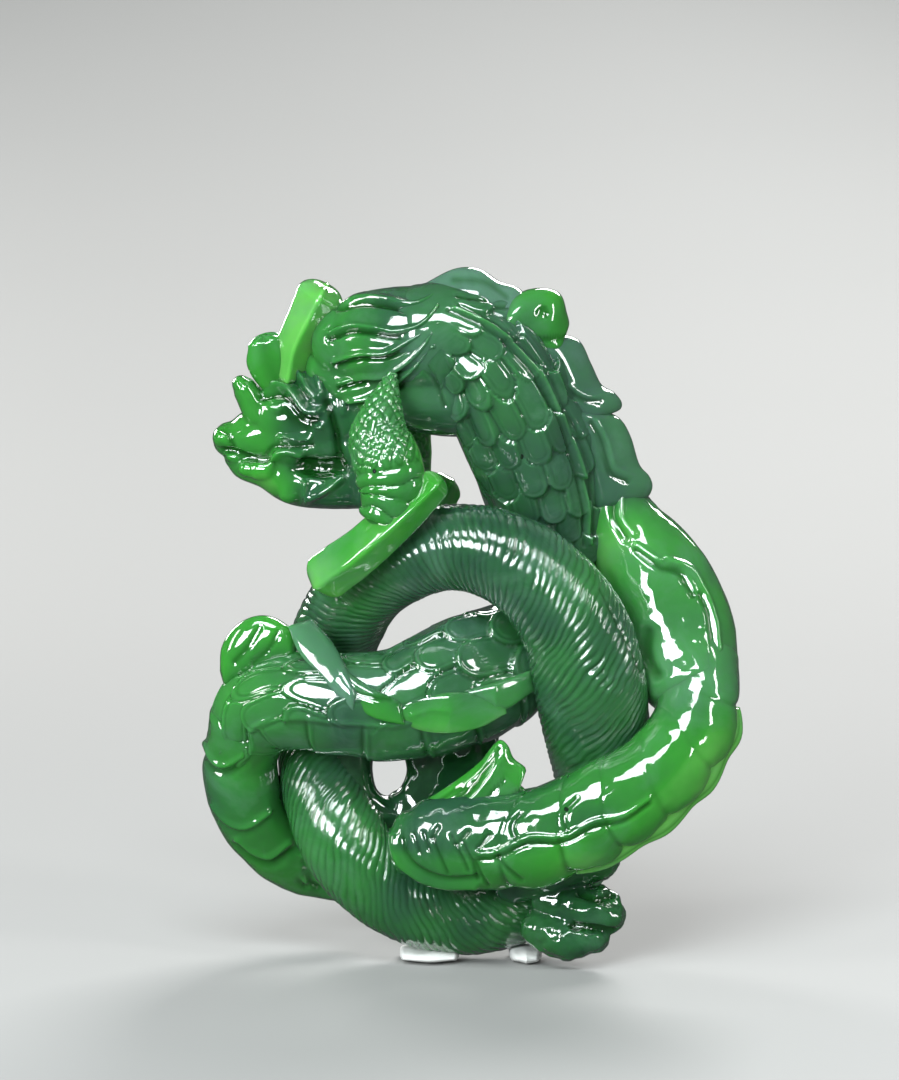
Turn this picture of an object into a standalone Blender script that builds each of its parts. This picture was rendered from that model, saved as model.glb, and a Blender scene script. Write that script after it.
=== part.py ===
"""Openwork coiled dragon carved in green jade, standing on two small putty pads.

The stone is described member by member: coils, fins, limbs and the parts of the head.
Rows of a path hold x, y, z, half width in the plane of the coils and half depth, in mm.
Z is up, the carved front faces -Y, the head is on the -X side.
"""
import math

import bmesh
import bpy
from mathutils import Vector

MM = 0.001
DEPTH = Vector((0.0, 1.0, 0.0))
CENTRE = Vector((0.2, -0.7, 0.0))
SEAM_GAP = 0.32

TUBE_SIDES = 12
TUBE_STEPS = 3
DOME_ANGLES = (78.0, 52.0, 26.0)
DOME_RATIO = 0.62
FIN_STEPS = 7
FIN_ROOT_HALF = 1.3
FIN_ROOT_DEPTH = 0.7
FIN_EDGE_HALF = 0.55
FIN_EDGE_RATIO = 0.6
FIN_REACH = 0.01

PAD_THICK = 1.2
PAD_DEPTH = 8.0
PAD_BEVEL = 0.12

JADE_DEEP = ("jade_deep", (0.050, 0.175, 0.070), 0.14)
JADE_BRIGHT = ("jade_bright", (0.075, 0.330, 0.060), 0.14)
PUTTY = ("putty_white", (0.740, 0.740, 0.720), 0.70)

RING_UPPER = [
    (-13.5, 5.4, 22.6, 3.9, 3.5),
    (-13.0, 5.0, 26.0, 3.9, 3.5),
    (-11.6, 3.6, 29.6, 3.9, 3.6),
    (-9.6, 1.2, 33.1, 3.8, 3.7),
    (-6.2, -1.2, 36.0, 3.8, 3.8),
    (-1.8, -3.0, 37.4, 3.8, 3.8),
    (2.3, -4.0, 36.9, 4.0, 3.9),
    (5.9, -4.4, 34.7, 4.3, 4.0),
    (8.9, -4.4, 30.8, 4.7, 4.2),
    (10.4, -3.2, 26.0, 4.9, 4.2),
    (11.2, -0.2, 20.6, 4.6, 4.0),
    (11.6, 2.6, 16.2, 4.0, 3.6),
]
RING_LOWER = [
    (11.6, 2.8, 16.4, 3.9, 3.5),
    (11.5, 3.5, 13.6, 3.6, 3.4),
    (10.0, 3.8, 9.6, 3.3, 3.2),
    (6.8, 3.0, 6.2, 3.2, 3.1),
    (2.4, 0.8, 4.5, 3.45, 3.4),
    (-2.6, 0.0, 4.5, 3.45, 3.5),
    (-7.2, -0.6, 6.6, 3.7, 3.6),
    (-10.8, -0.8, 10.4, 3.9, 3.6),
    (-12.7, 1.2, 15.0, 3.6, 3.6),
    (-13.3, 4.4, 19.6, 3.7, 3.5),
    (-13.5, 5.4, 22.8, 3.8, 3.5),
]
UPPER_COIL = [
    (-2.8, 0.2, 55.4, 4.9, 4.9),
    (0.2, 0.2, 54.9, 5.2, 5.0),
    (3.2, 0.7, 50.4, 5.3, 5.0),
    (5.3, 1.7, 45.8, 4.9, 4.7),
    (6.9, 3.6, 40.8, 4.4, 4.2),
    (8.5, 5.2, 35.6, 4.2, 3.7),
    (9.3, 5.9, 30.6, 3.9, 3.4),
    (8.6, 6.0, 26.6, 3.0, 2.8),
]
NECK = [
    (-10.4, 1.4, 55.2, 3.7, 3.6),
    (-8.0, 0.8, 55.6, 4.4, 4.4),
    (-3.6, 0.2, 55.5, 4.9, 4.9),
]
MIDDLE_COIL = [
    (7.2, 4.6, 27.0, 3.2, 2.8),
    (4.6, 2.2, 26.8, 4.6, 3.8),
    (1.6, -0.6, 26.0, 5.3, 4.3),
    (-1.8, -2.6, 25.0, 5.3, 4.6),
    (-6.2, -3.9, 23.9, 4.9, 4.6),
    (-10.6, -4.3, 23.8, 4.6, 4.5),
    (-15.0, -3.7, 24.0, 4.3, 4.3),
    (-18.2, -2.0, 23.0, 3.9, 4.0),
    (-19.7, -0.4, 20.8, 3.4, 3.6),
]
LEFT_COIL = [
    (-19.9, 0.1, 20.1, 3.3, 3.5),
    (-20.3, 1.0, 17.6, 3.0, 3.2),
    (-20.1, 1.5, 15.2, 3.0, 3.1),
    (-19.0, 2.8, 11.9, 2.9, 2.9),
    (-16.6, 5.2, 9.0, 2.8, 2.7),
    (-13.4, 7.0, 7.0, 2.6, 2.3),
    (-9.6, 7.2, 5.6, 1.9, 1.9),
]
HAUNCH = [
    (12.6, 3.2, 42.4, 1.7, 2.6),
    (14.6, 2.4, 38.6, 2.8, 3.4),
    (16.9, 1.6, 34.6, 4.1, 4.2),
    (19.0, 0.4, 30.0, 4.2, 4.2),
    (19.9, -1.4, 26.2, 3.7, 3.7),
]
TAIL_COIL = [
    (20.0, -1.9, 25.4, 3.7, 3.6),
    (19.6, -3.6, 22.2, 3.5, 3.4),
    (17.0, -5.8, 18.6, 3.7, 3.4),
    (12.6, -6.9, 15.5, 4.0, 3.5),
    (6.6, -7.2, 12.6, 4.0, 3.5),
    (0.8, -6.4, 11.6, 3.8, 3.3),
    (-3.8, -5.2, 11.0, 3.2, 2.8),
    (-5.4, -4.6, 10.6, 2.2, 2.0),
]
INNER_BRIDGE = [
    (-2.0, 0.4, 22.6, 3.6, 2.2),
    (-2.3, -0.2, 19.4, 3.7, 2.3),
    (-2.6, -0.6, 16.2, 3.7, 2.3),
    (-2.9, -0.8, 13.0, 3.9, 2.3),
    (-3.0, -0.6, 10.2, 3.6, 2.2),
]
FORELEG_LEFT = [
    (-6.6, -2.6, 52.2, 1.3, 1.8),
    (-7.0, -5.0, 49.6, 2.1, 1.9),
    (-7.2, -6.4, 46.8, 2.9, 2.3),
    (-7.0, -7.1, 44.2, 2.8, 2.3),
    (-6.8, -7.4, 41.6, 2.2, 2.0),
]
FORELEG_RIGHT = [
    (-4.8, 3.6, 51.6, 1.8, 2.0),
    (-4.6, 6.4, 48.2, 2.4, 2.0),
    (-4.2, 7.2, 44.6, 2.5, 2.0),
    (-4.2, 6.6, 41.2, 1.8, 1.7),
]
FORE_CLAW_LEFT = [
    (-2.6, -7.6, 42.9, 1.5, 1.2),
    (-6.2, -7.2, 39.8, 2.2, 1.6),
    (-9.4, -6.6, 37.2, 2.4, 1.7),
    (-12.6, -5.4, 34.9, 2.1, 1.4),
]
FORE_CLAW_RIGHT = [
    (-2.4, 6.4, 41.6, 1.6, 1.4),
    (-4.8, 4.9, 38.6, 2.2, 1.8),
    (-7.6, 4.6, 36.2, 1.8, 1.5),
]
HIND_FOOT_UPPER = [
    (8.6, -1.6, 5.2, 2.0, 2.4),
    (10.6, -2.8, 4.9, 2.1, 2.4),
    (12.0, -3.2, 4.4, 1.7, 2.2),
]
HIND_FOOT_LOWER = [
    (7.0, -2.4, 2.8, 1.5, 2.2),
    (8.8, -3.0, 2.5, 1.7, 2.3),
    (10.6, -3.2, 2.3, 1.4, 2.0),
]
HEAD_SKULL = [
    (-9.8, 3.9, 46.8, 2.9, 3.4),
    (-12.2, 4.0, 47.4, 4.5, 4.4),
    (-14.8, 4.0, 47.8, 4.4, 4.0),
    (-16.8, 4.0, 47.6, 3.3, 3.2),
]
SNOUT = [
    (-16.6, 4.0, 47.4, 2.4, 2.8),
    (-18.8, 4.0, 47.2, 2.1, 2.5),
    (-20.6, 4.0, 46.9, 1.7, 2.2),
    (-21.9, 4.0, 47.0, 1.6, 2.1),
]
LOWER_JAW = [
    (-9.8, 4.0, 42.4, 1.5, 2.6),
    (-13.0, 4.0, 41.8, 1.8, 2.9),
    (-16.6, 4.0, 42.4, 1.7, 2.7),
    (-19.0, 4.0, 43.3, 1.3, 2.2),
    (-20.6, 4.0, 44.2, 0.9, 1.6),
]
THROAT_TUFT = [
    (-8.6, 3.4, 46.6, 1.1, 2.0),
    (-8.2, 2.8, 43.6, 1.5, 2.0),
    (-9.4, 2.4, 41.0, 1.1, 1.7),
]
NASAL_CREST = [
    (-16.8, 4.0, 49.6, 0.9, 1.2),
    (-18.8, 4.0, 50.2, 1.1, 1.3),
    (-20.2, 4.0, 51.8, 0.8, 1.0),
]
HORN_ROWS = [
    (-15.2, 1.6, 51.0, 1.0, 0.9),
    (-15.0, 1.0, 54.4, 1.4, 1.1),
    (-14.2, 0.6, 57.4, 1.9, 1.2),
    (-13.2, 0.6, 59.6, 2.1, 1.1),
]
EAR_ROWS = [
    (-16.4, 2.0, 50.4, 1.0, 0.9),
    (-17.8, 1.4, 52.8, 1.7, 1.1),
    (-18.4, 1.2, 55.4, 1.3, 0.8),
]
BROW_ROWS = [
    (-17.2, 1.2, 50.1, 0.7, 0.8),
    (-15.2, 0.4, 50.6, 0.9, 0.9),
    (-12.6, 0.2, 49.4, 0.7, 0.8),
]
CHEEK_MANE_ROWS = [
    (-11.4, 0.8, 51.6, 0.8, 0.9),
    (-10.8, 0.0, 48.6, 1.1, 1.1),
    (-11.0, 0.2, 45.2, 0.8, 0.9),
]
HEAD_MID_Y = 4.0


def material(spec):
    """Return the shared material described by a name, a colour and a roughness."""
    name, colour, roughness = spec
    found = bpy.data.materials.get(name)
    if found:
        return found
    made = bpy.data.materials.new(name)
    made.use_nodes = True
    shader = made.node_tree.nodes["Principled BSDF"]
    shader.inputs["Base Color"].default_value = (*colour, 1.0)
    shader.inputs["Roughness"].default_value = roughness
    shader.inputs["Metallic"].default_value = 0.0
    made.diffuse_color = (*colour, 1.0)
    return made


def add_object(name, bm, spec, smooth=True):
    """Close the work mesh into one named object with its material."""
    bmesh.ops.recalc_face_normals(bm, faces=bm.faces)
    mesh = bpy.data.meshes.new(name)
    for face in bm.faces:
        face.smooth = smooth
    bm.to_mesh(mesh)
    bm.free()
    mesh.materials.append(material(spec))
    body = bpy.data.objects.new(name, mesh)
    bpy.context.scene.collection.objects.link(body)
    return body


def spline(rows, steps):
    """Catmull-Rom samples through rows of numbers, `steps` to each interval."""
    samples = []
    last = len(rows) - 1
    for i in range(last):
        before = rows[max(i - 1, 0)]
        start = rows[i]
        end = rows[i + 1]
        after = rows[min(i + 2, last)]
        for k in range(steps):
            t = k / steps
            sample = []
            for a, b, c, d in zip(before, start, end, after):
                cubic = (3.0 * b - 3.0 * c + d - a) * t ** 3
                square = (2.0 * a - 5.0 * b + 4.0 * c - d) * t ** 2
                sample.append(0.5 * (2.0 * b + (c - a) * t + square + cubic))
            samples.append(sample)
    samples.append(list(rows[-1]))
    return samples


def frames(samples):
    """Centre, tangent, side and depth directions at every sample of a path."""
    centres = [Vector(row[:3]) for row in samples]
    result = []
    last = len(centres) - 1
    for i, centre in enumerate(centres):
        tangent = (centres[min(i + 1, last)] - centres[max(i - 1, 0)]).normalized()
        side = DEPTH.cross(tangent).normalized()
        result.append((centre, tangent, side, tangent.cross(side)))
    return result


def section(bm, centre, side, depth, width, thick, sides):
    """One elliptical loop of vertices around a centre."""
    loop = []
    for k in range(sides):
        angle = 2.0 * math.pi * k / sides
        point = centre + side * (width * math.cos(angle)) + depth * (thick * math.sin(angle))
        loop.append(bm.verts.new((point - CENTRE) * MM))
    return loop


def skin(bm, loops):
    """Join consecutive vertex loops and close both ends."""
    for first, second in zip(loops, loops[1:]):
        count = len(first)
        for k in range(count):
            following = (k + 1) % count
            bm.faces.new((first[k], first[following], second[following], second[k]))
    bm.faces.new(loops[0])
    bm.faces.new(list(reversed(loops[-1])))


def tube(name, spec, rows, round_start=True, round_end=True, sides=TUBE_SIDES):
    """Member of varying elliptical section along a path, with domed or flat ends."""
    samples = spline(rows, TUBE_STEPS)
    places = frames(samples)
    bm = bmesh.new()
    loops = []
    if round_start:
        loops += dome(bm, places[0], samples[0], -1.0, sides)
    for place, row in zip(places, samples):
        centre, _, side, depth = place
        loops.append(section(bm, centre, side, depth, row[3], row[4], sides))
    if round_end:
        loops += reversed(dome(bm, places[-1], samples[-1], 1.0, sides))
    skin(bm, loops)
    return add_object(name, bm, spec)


def dome(bm, place, row, sign, sides):
    """Shrinking loops beyond the end of a tube, from the tip inwards."""
    centre, tangent, side, depth = place
    width, thick = row[3], row[4]
    reach = DOME_RATIO * min(width, thick)
    loops = []
    for degrees in DOME_ANGLES:
        angle = math.radians(degrees)
        shift = tangent * (sign * reach * math.sin(angle))
        scale = math.cos(angle)
        loops.append(section(bm, centre + shift, side, depth, width * scale, thick * scale, sides))
    return loops


def path_at(samples, place):
    """Row of numbers at a place from 0 to 1 along sampled rows."""
    at = place * (len(samples) - 1)
    low = min(int(at), len(samples) - 2)
    part = at - low
    return [a + (b - a) * part for a, b in zip(samples[low], samples[low + 1])]


def fin(name, spec, rows, start, end, heading, heights, lean, half=FIN_ROOT_HALF):
    """Tapered plate standing on a coil from `start` to `end` of its path.

    `heading` is the direction of the plate around the coil in degrees, `heights` the
    scalloped outline, `lean` how far the free edge sweeps along the coil.
    """
    dense = spline(rows, TUBE_STEPS)
    bm = bmesh.new()
    loops = []
    angle = math.radians(heading)
    for i in range(FIN_STEPS):
        part = i / (FIN_STEPS - 1)
        place = start + (end - start) * part
        row = path_at(dense, place)
        ahead = path_at(dense, min(place + FIN_REACH, 1.0))
        back = path_at(dense, max(place - FIN_REACH, 0.0))
        tangent = (Vector(ahead[:3]) - Vector(back[:3])).normalized()
        side = DEPTH.cross(tangent).normalized()
        depth = tangent.cross(side)
        outward = side * math.cos(angle) + depth * math.sin(angle)
        across = depth * math.cos(angle) - side * math.sin(angle)
        shell = 1.0 / math.hypot(math.cos(angle) / row[3], math.sin(angle) / row[4])
        foot = Vector(row[:3]) + outward * (shell - FIN_ROOT_DEPTH)
        tip = foot + outward * heights[i] + tangent * (lean * heights[i])
        edge = min(FIN_EDGE_HALF, half * FIN_EDGE_RATIO)
        corners = (foot - across * half, tip - across * edge, tip + across * edge, foot + across * half)
        loops.append([bm.verts.new((corner - CENTRE) * MM) for corner in corners])
    skin(bm, loops)
    return add_object(name, bm, spec, smooth=False)


def seam_cutter(source):
    """Hidden copy of a member swollen by the seam gap, for trimming what meets it."""
    name = source.name + "_seam"
    if name in bpy.data.objects:
        return bpy.data.objects[name]
    mesh = source.data.copy()
    for vert in mesh.vertices:
        vert.co += vert.normal * (SEAM_GAP * MM)
    cutter = bpy.data.objects.new(name, mesh)
    cutter.hide_render = True
    cutter.display_type = "WIRE"
    bpy.context.scene.collection.objects.link(cutter)
    return cutter


def trim(name, *others):
    """Trim one member back from the members it grows out of or passes."""
    for other in others:
        cut = bpy.data.objects[name].modifiers.new("seam_" + other, "BOOLEAN")
        cut.operation = "DIFFERENCE"
        cut.solver = "EXACT"
        cut.object = seam_cutter(bpy.data.objects[other])


def mirrored(rows, middle):
    """The same member on the far side of the head's middle plane."""
    return [(x, 2.0 * middle - y, z, width, thick) for x, y, z, width, thick in rows]


def pad(name, low_x, high_x, height):
    """Flat putty pad with softened edges, its underside on the table plane."""
    bm = bmesh.new()
    bmesh.ops.create_cube(bm, size=1.0)
    for vert in bm.verts:
        vert.co.x = (low_x + high_x) / 2.0 + vert.co.x * (high_x - low_x)
        vert.co.y = vert.co.y * PAD_DEPTH
        vert.co.z = (vert.co.z + 0.5) * height
        vert.co = (vert.co - CENTRE) * MM
    bmesh.ops.bevel(bm, geom=bm.edges[:], offset=PAD_BEVEL * MM, segments=2, affect="EDGES")
    return add_object(name, bm, PUTTY, smooth=False)


def build_coils():
    """The carved body: neck, coils, haunch and tail."""
    tube("ring_coil_upper", JADE_DEEP, RING_UPPER, round_start=False, round_end=False)
    tube("ring_coil_lower", JADE_DEEP, RING_LOWER, round_start=False, round_end=False)
    tube("neck", JADE_DEEP, NECK, round_end=False)
    tube("upper_coil", JADE_DEEP, UPPER_COIL, round_start=False)
    tube("middle_coil", JADE_DEEP, MIDDLE_COIL, round_end=False)
    tube("left_coil", JADE_BRIGHT, LEFT_COIL, round_start=False)
    tube("haunch", JADE_BRIGHT, HAUNCH, round_end=False)
    tube("tail_coil", JADE_BRIGHT, TAIL_COIL, round_start=False)
    tube("inner_bridge", JADE_DEEP, INNER_BRIDGE)
    trim("ring_coil_lower", "ring_coil_upper")
    trim("middle_coil", "ring_coil_upper", "upper_coil")
    trim("left_coil", "middle_coil")
    trim("haunch", "upper_coil", "ring_coil_upper")
    trim("inner_bridge", "middle_coil", "tail_coil", "ring_coil_lower")


def build_fins():
    """Back plates, spine plates and the tail tuft."""
    rising = (0.6, 1.6, 2.6, 3.6, 4.5, 5.0, 4.2)
    crest = (0.8, 1.6, 2.3, 2.7, 2.7, 2.2, 1.2)
    leaf = (1.0, 2.6, 3.8, 4.4, 4.2, 3.2, 1.8)
    fan = (2.6, 4.4, 5.6, 6.0, 4.4, 2.8, 1.4)
    low = (0.8, 1.6, 2.2, 2.5, 2.4, 1.9, 1.0)
    saw = (0.8, 1.7, 0.9, 1.8, 1.0, 1.8, 0.8)
    fin("dorsal_fin_1", JADE_DEEP, UPPER_COIL, 0.01, 0.15, 180.0, crest, 0.2)
    fin("dorsal_fin_2", JADE_BRIGHT, UPPER_COIL, 0.17, 0.28, 176.0, rising, 0.2)
    fin("dorsal_fin_3", JADE_BRIGHT, UPPER_COIL, 0.30, 0.43, 174.0, rising, 0.2)
    fin("dorsal_fin_4", JADE_BRIGHT, UPPER_COIL, 0.45, 0.56, 172.0, rising, 0.2)
    fin("spine_fin_1", JADE_BRIGHT, MIDDLE_COIL, 0.24, 0.37, 236.0, low, -0.2)
    fin("spine_fin_2", JADE_BRIGHT, MIDDLE_COIL, 0.38, 0.52, 236.0, low, -0.2)
    fin("spine_fin_3", JADE_BRIGHT, MIDDLE_COIL, 0.53, 0.68, 256.0, low, -0.2)
    fin("side_fin_left", JADE_BRIGHT, MIDDLE_COIL, 0.70, 0.90, 20.0, leaf, 0.3)
    fin("tail_edge_fin", JADE_BRIGHT, TAIL_COIL, 0.08, 0.60, 180.0, saw, 0.0, half=0.9)
    fin("tail_tuft", JADE_BRIGHT, TAIL_COIL, 0.52, 0.84, 356.0, fan, -0.35)
    roots = {
        "upper_coil": ("dorsal_fin_1", "dorsal_fin_2", "dorsal_fin_3", "dorsal_fin_4"),
        "middle_coil": ("spine_fin_1", "spine_fin_2", "spine_fin_3", "side_fin_left"),
        "tail_coil": ("tail_edge_fin", "tail_tuft"),
    }
    for coil, fins in roots.items():
        for name in fins:
            trim(name, coil)
    trim("dorsal_fin_4", "haunch")
    trim("tail_tuft", "ring_coil_upper", "middle_coil", "inner_bridge")


def build_limbs():
    """Forelegs with their claws and the hind foot."""
    tube("foreleg_left", JADE_BRIGHT, FORELEG_LEFT)
    tube("fore_claw_left", JADE_BRIGHT, FORE_CLAW_LEFT)
    tube("foreleg_right", JADE_DEEP, FORELEG_RIGHT)
    tube("fore_claw_right", JADE_BRIGHT, FORE_CLAW_RIGHT)
    tube("hind_foot_upper", JADE_BRIGHT, HIND_FOOT_UPPER)
    tube("hind_foot_lower", JADE_BRIGHT, HIND_FOOT_LOWER)
    trim("fore_claw_left", "ring_coil_upper")
    trim("fore_claw_right", "ring_coil_upper")
    trim("foreleg_left", "neck", "fore_claw_left")
    trim("foreleg_right", "neck", "upper_coil", "fore_claw_right", "ring_coil_upper")
    trim("hind_foot_upper", "ring_coil_lower")
    trim("hind_foot_lower", "ring_coil_lower", "hind_foot_upper")


def build_head():
    """Skull, jaws and the paired horns, ears, brows and cheek manes."""
    tube("head_skull", JADE_DEEP, HEAD_SKULL)
    tube("snout", JADE_BRIGHT, SNOUT)
    tube("lower_jaw", JADE_BRIGHT, LOWER_JAW)
    tube("throat_tuft", JADE_DEEP, THROAT_TUFT)
    tube("nasal_crest", JADE_BRIGHT, NASAL_CREST)
    trim("head_skull", "neck")
    trim("snout", "head_skull")
    trim("lower_jaw", "head_skull", "snout")
    trim("throat_tuft", "head_skull", "lower_jaw")
    trim("nasal_crest", "head_skull", "snout")
    paired = (
        ("horn", JADE_BRIGHT, HORN_ROWS, ("head_skull", "neck")),
        ("ear", JADE_BRIGHT, EAR_ROWS, ("head_skull", "horn")),
        ("brow", JADE_BRIGHT, BROW_ROWS, ("head_skull", "horn", "ear")),
        ("cheek_mane", JADE_DEEP, CHEEK_MANE_ROWS, ("head_skull", "neck", "brow")),
    )
    for side in ("_left", "_right"):
        for name, spec, rows, roots in paired:
            placed = rows if side == "_left" else mirrored(rows, HEAD_MID_Y)
            tube(name + side, spec, placed, sides=10)
            twins = ("horn", "ear", "brow")
            trim(name + side, *[root + side if root in twins else root for root in roots])


def main():
    for old in list(bpy.data.objects):
        bpy.data.objects.remove(old, do_unlink=True)
    build_coils()
    build_fins()
    build_limbs()
    build_head()
    pad("putty_pad_left", -6.2, -0.9, PAD_THICK)
    pad("putty_pad_right", 3.6, 6.4, PAD_THICK)
    trim("putty_pad_left", "ring_coil_lower")
    trim("putty_pad_right", "ring_coil_lower", "hind_foot_lower")


main()
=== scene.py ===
"""Looks of the coiled jade dragon: engraved coils, fins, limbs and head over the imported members."""

import math

import bpy
import numpy as np
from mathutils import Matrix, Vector


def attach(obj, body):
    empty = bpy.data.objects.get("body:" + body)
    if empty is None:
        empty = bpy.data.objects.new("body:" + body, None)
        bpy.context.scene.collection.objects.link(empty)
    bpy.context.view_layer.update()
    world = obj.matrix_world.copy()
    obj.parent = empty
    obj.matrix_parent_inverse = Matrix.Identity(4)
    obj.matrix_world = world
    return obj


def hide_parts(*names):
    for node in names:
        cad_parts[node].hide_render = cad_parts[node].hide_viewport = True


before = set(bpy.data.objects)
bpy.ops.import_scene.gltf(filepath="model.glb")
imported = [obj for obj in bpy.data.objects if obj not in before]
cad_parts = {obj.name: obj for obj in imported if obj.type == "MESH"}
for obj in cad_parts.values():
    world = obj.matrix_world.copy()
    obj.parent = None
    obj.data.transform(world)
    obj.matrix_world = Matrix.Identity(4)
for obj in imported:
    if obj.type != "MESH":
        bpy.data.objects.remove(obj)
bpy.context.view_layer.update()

# ---- units and frame
MM = 0.001
CENTRE = np.array([0.2, -0.7, 0.0])
BACKWARD = np.array([0.0, 1.0, 0.0])
TURN = 2.0 * math.pi

# ---- numpy helpers


def unit(v):
    """Vectors scaled to length one along the last axis."""
    return v / np.maximum(np.linalg.norm(v, axis=-1, keepdims=True), 1e-9)


def smooth(low, high, x):
    """Smooth step of x from low to high."""
    t = np.clip((x - low) / (high - low), 0.0, 1.0)
    return t * t * (3.0 - 2.0 * t)


def bell(off, width):
    """Bell of height one and the given half width."""
    return np.exp(-(off / width) ** 2)


def lattice(i, j, k, seed):
    """Repeatable value from 0 to 1 for each whole-number place."""
    wild = np.sin(i * 127.1 + j * 311.7 + k * 74.7 + seed * 53.3) * 43758.5453
    return wild - np.floor(wild)


def noise(p, size, seed=0):
    """Smooth value noise from -1 to 1 at points in mm, with features of the given size."""
    q = p / size
    base = np.floor(q)
    f = q - base
    f = f * f * (3.0 - 2.0 * f)
    total = 0.0
    for corner in range(8):
        step = np.array([corner & 1, (corner >> 1) & 1, corner >> 2])
        share = np.where(step, f, 1 - f)
        weight = share[..., 0] * share[..., 1] * share[..., 2]
        total = total + weight * lattice(*np.moveaxis(base + step, -1, 0), seed)
    return total * 2.0 - 1.0


def curve(rows, per=24):
    """Catmull-Rom curve through rows of numbers."""
    p = np.array(rows, float)
    ends = np.vstack([2 * p[0] - p[1], p, 2 * p[-1] - p[-2]])
    t = np.linspace(0.0, 1.0, per, endpoint=False)[:, None]
    parts = []
    for i in range(len(p) - 1):
        a, b, c, d = ends[i:i + 4]
        parts.append(0.5 * (2 * b + (c - a) * t + (2 * a - 5 * b + 4 * c - d) * t ** 2
                            + (3 * b - 3 * c + d - a) * t ** 3))
    parts.append(p[-1:])
    return np.vstack(parts)


def lengths(points):
    """Running length along a chain of points."""
    return np.concatenate([[0.0], np.cumsum(np.linalg.norm(np.diff(points, axis=0), axis=1))])


def evenly(rows, step):
    """Arc length and rows at even spacing along the curve through rows."""
    fine = curve(rows)
    length = lengths(fine[:, :3])
    count = max(int(round(length[-1] / step)), 4)
    at = np.linspace(0.0, length[-1], count + 1)
    return at, np.stack([np.interp(at, length, fine[:, k]) for k in range(fine.shape[1])], 1)


# ---- materials
# DEEP is the thick stone, BRIGHT and PALE paint the glow of light through thin stone, MILK_AND_SHEEN mixes
# milky cloud with painted sheen, and the groove tint is painted shade in cuts and recesses
DEEP = (0.019, 0.078, 0.038, 1.0)
BRIGHT = (0.036, 0.262, 0.028, 1.0)
PALE = (0.130, 0.450, 0.085, 1.0)
MILK_AND_SHEEN = (0.115, 0.240, 0.170, 1.0)
GROOVE_SHADE_TINT = (0.12, 0.42, 0.10, 1.0)
FLECK = (0.006, 0.020, 0.008, 1.0)
POLISH = {
    "Roughness": 0.07,
    "IOR": 1.61,
    "Coat Weight": 1.0,
    "Coat Roughness": 0.03,
    "Subsurface Weight": 0.7,
    "Subsurface Radius": (0.35, 1.0, 0.30),
    "Subsurface Scale": 0.0020,
}
# how far the hair noise runs on from one engraved thread to the next
RIDGE_RUN = 5.5


def new_material(name, values):
    """Material, its node tree and its shader, with these values on the shader's sockets."""
    mat = bpy.data.materials.new(name)
    mat.use_nodes = True
    shader = mat.node_tree.nodes["Principled BSDF"]
    for key, value in values.items():
        shader.inputs[key].default_value = value
    return mat, mat.node_tree, shader


def add_node(tree, kind, inputs=None, output=0, **settings):
    """One output of a new node; `inputs` gives sockets a number, a colour or another node's output."""
    node = tree.nodes.new("ShaderNode" + kind)
    for key, value in settings.items():
        setattr(node, key, value)
    for key, value in (inputs or {}).items():
        if isinstance(value, bpy.types.NodeSocket):
            tree.links.new(value, node.inputs[key])
        else:
            node.inputs[key].default_value = value
    return node.outputs[output]


def colour_ramp(tree, share, stops):
    """Colour that changes along pairs of place and colour."""
    colour = add_node(tree, "ValToRGB", {"Fac": share})
    elements = colour.node.color_ramp.elements
    for k, (place, tint) in enumerate(stops):
        element = elements[k] if k < 2 else elements.new(place)
        element.position, element.color = place, tint
    return colour


def bumped(tree, height, strength, distance, normal=None):
    """Surface direction over bumps of this height, on top of an earlier one."""
    inputs = {"Height": height, "Strength": strength, "Distance": distance}
    if normal is not None:
        inputs["Normal"] = normal
    return add_node(tree, "Bump", inputs)


def mixed(tree, share, first, second, blend="MIX"):
    """Colour between two others."""
    return add_node(tree, "Mix", {0: share, 6: first, 7: second}, 2, data_type="RGBA", blend_type=blend)


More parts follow.
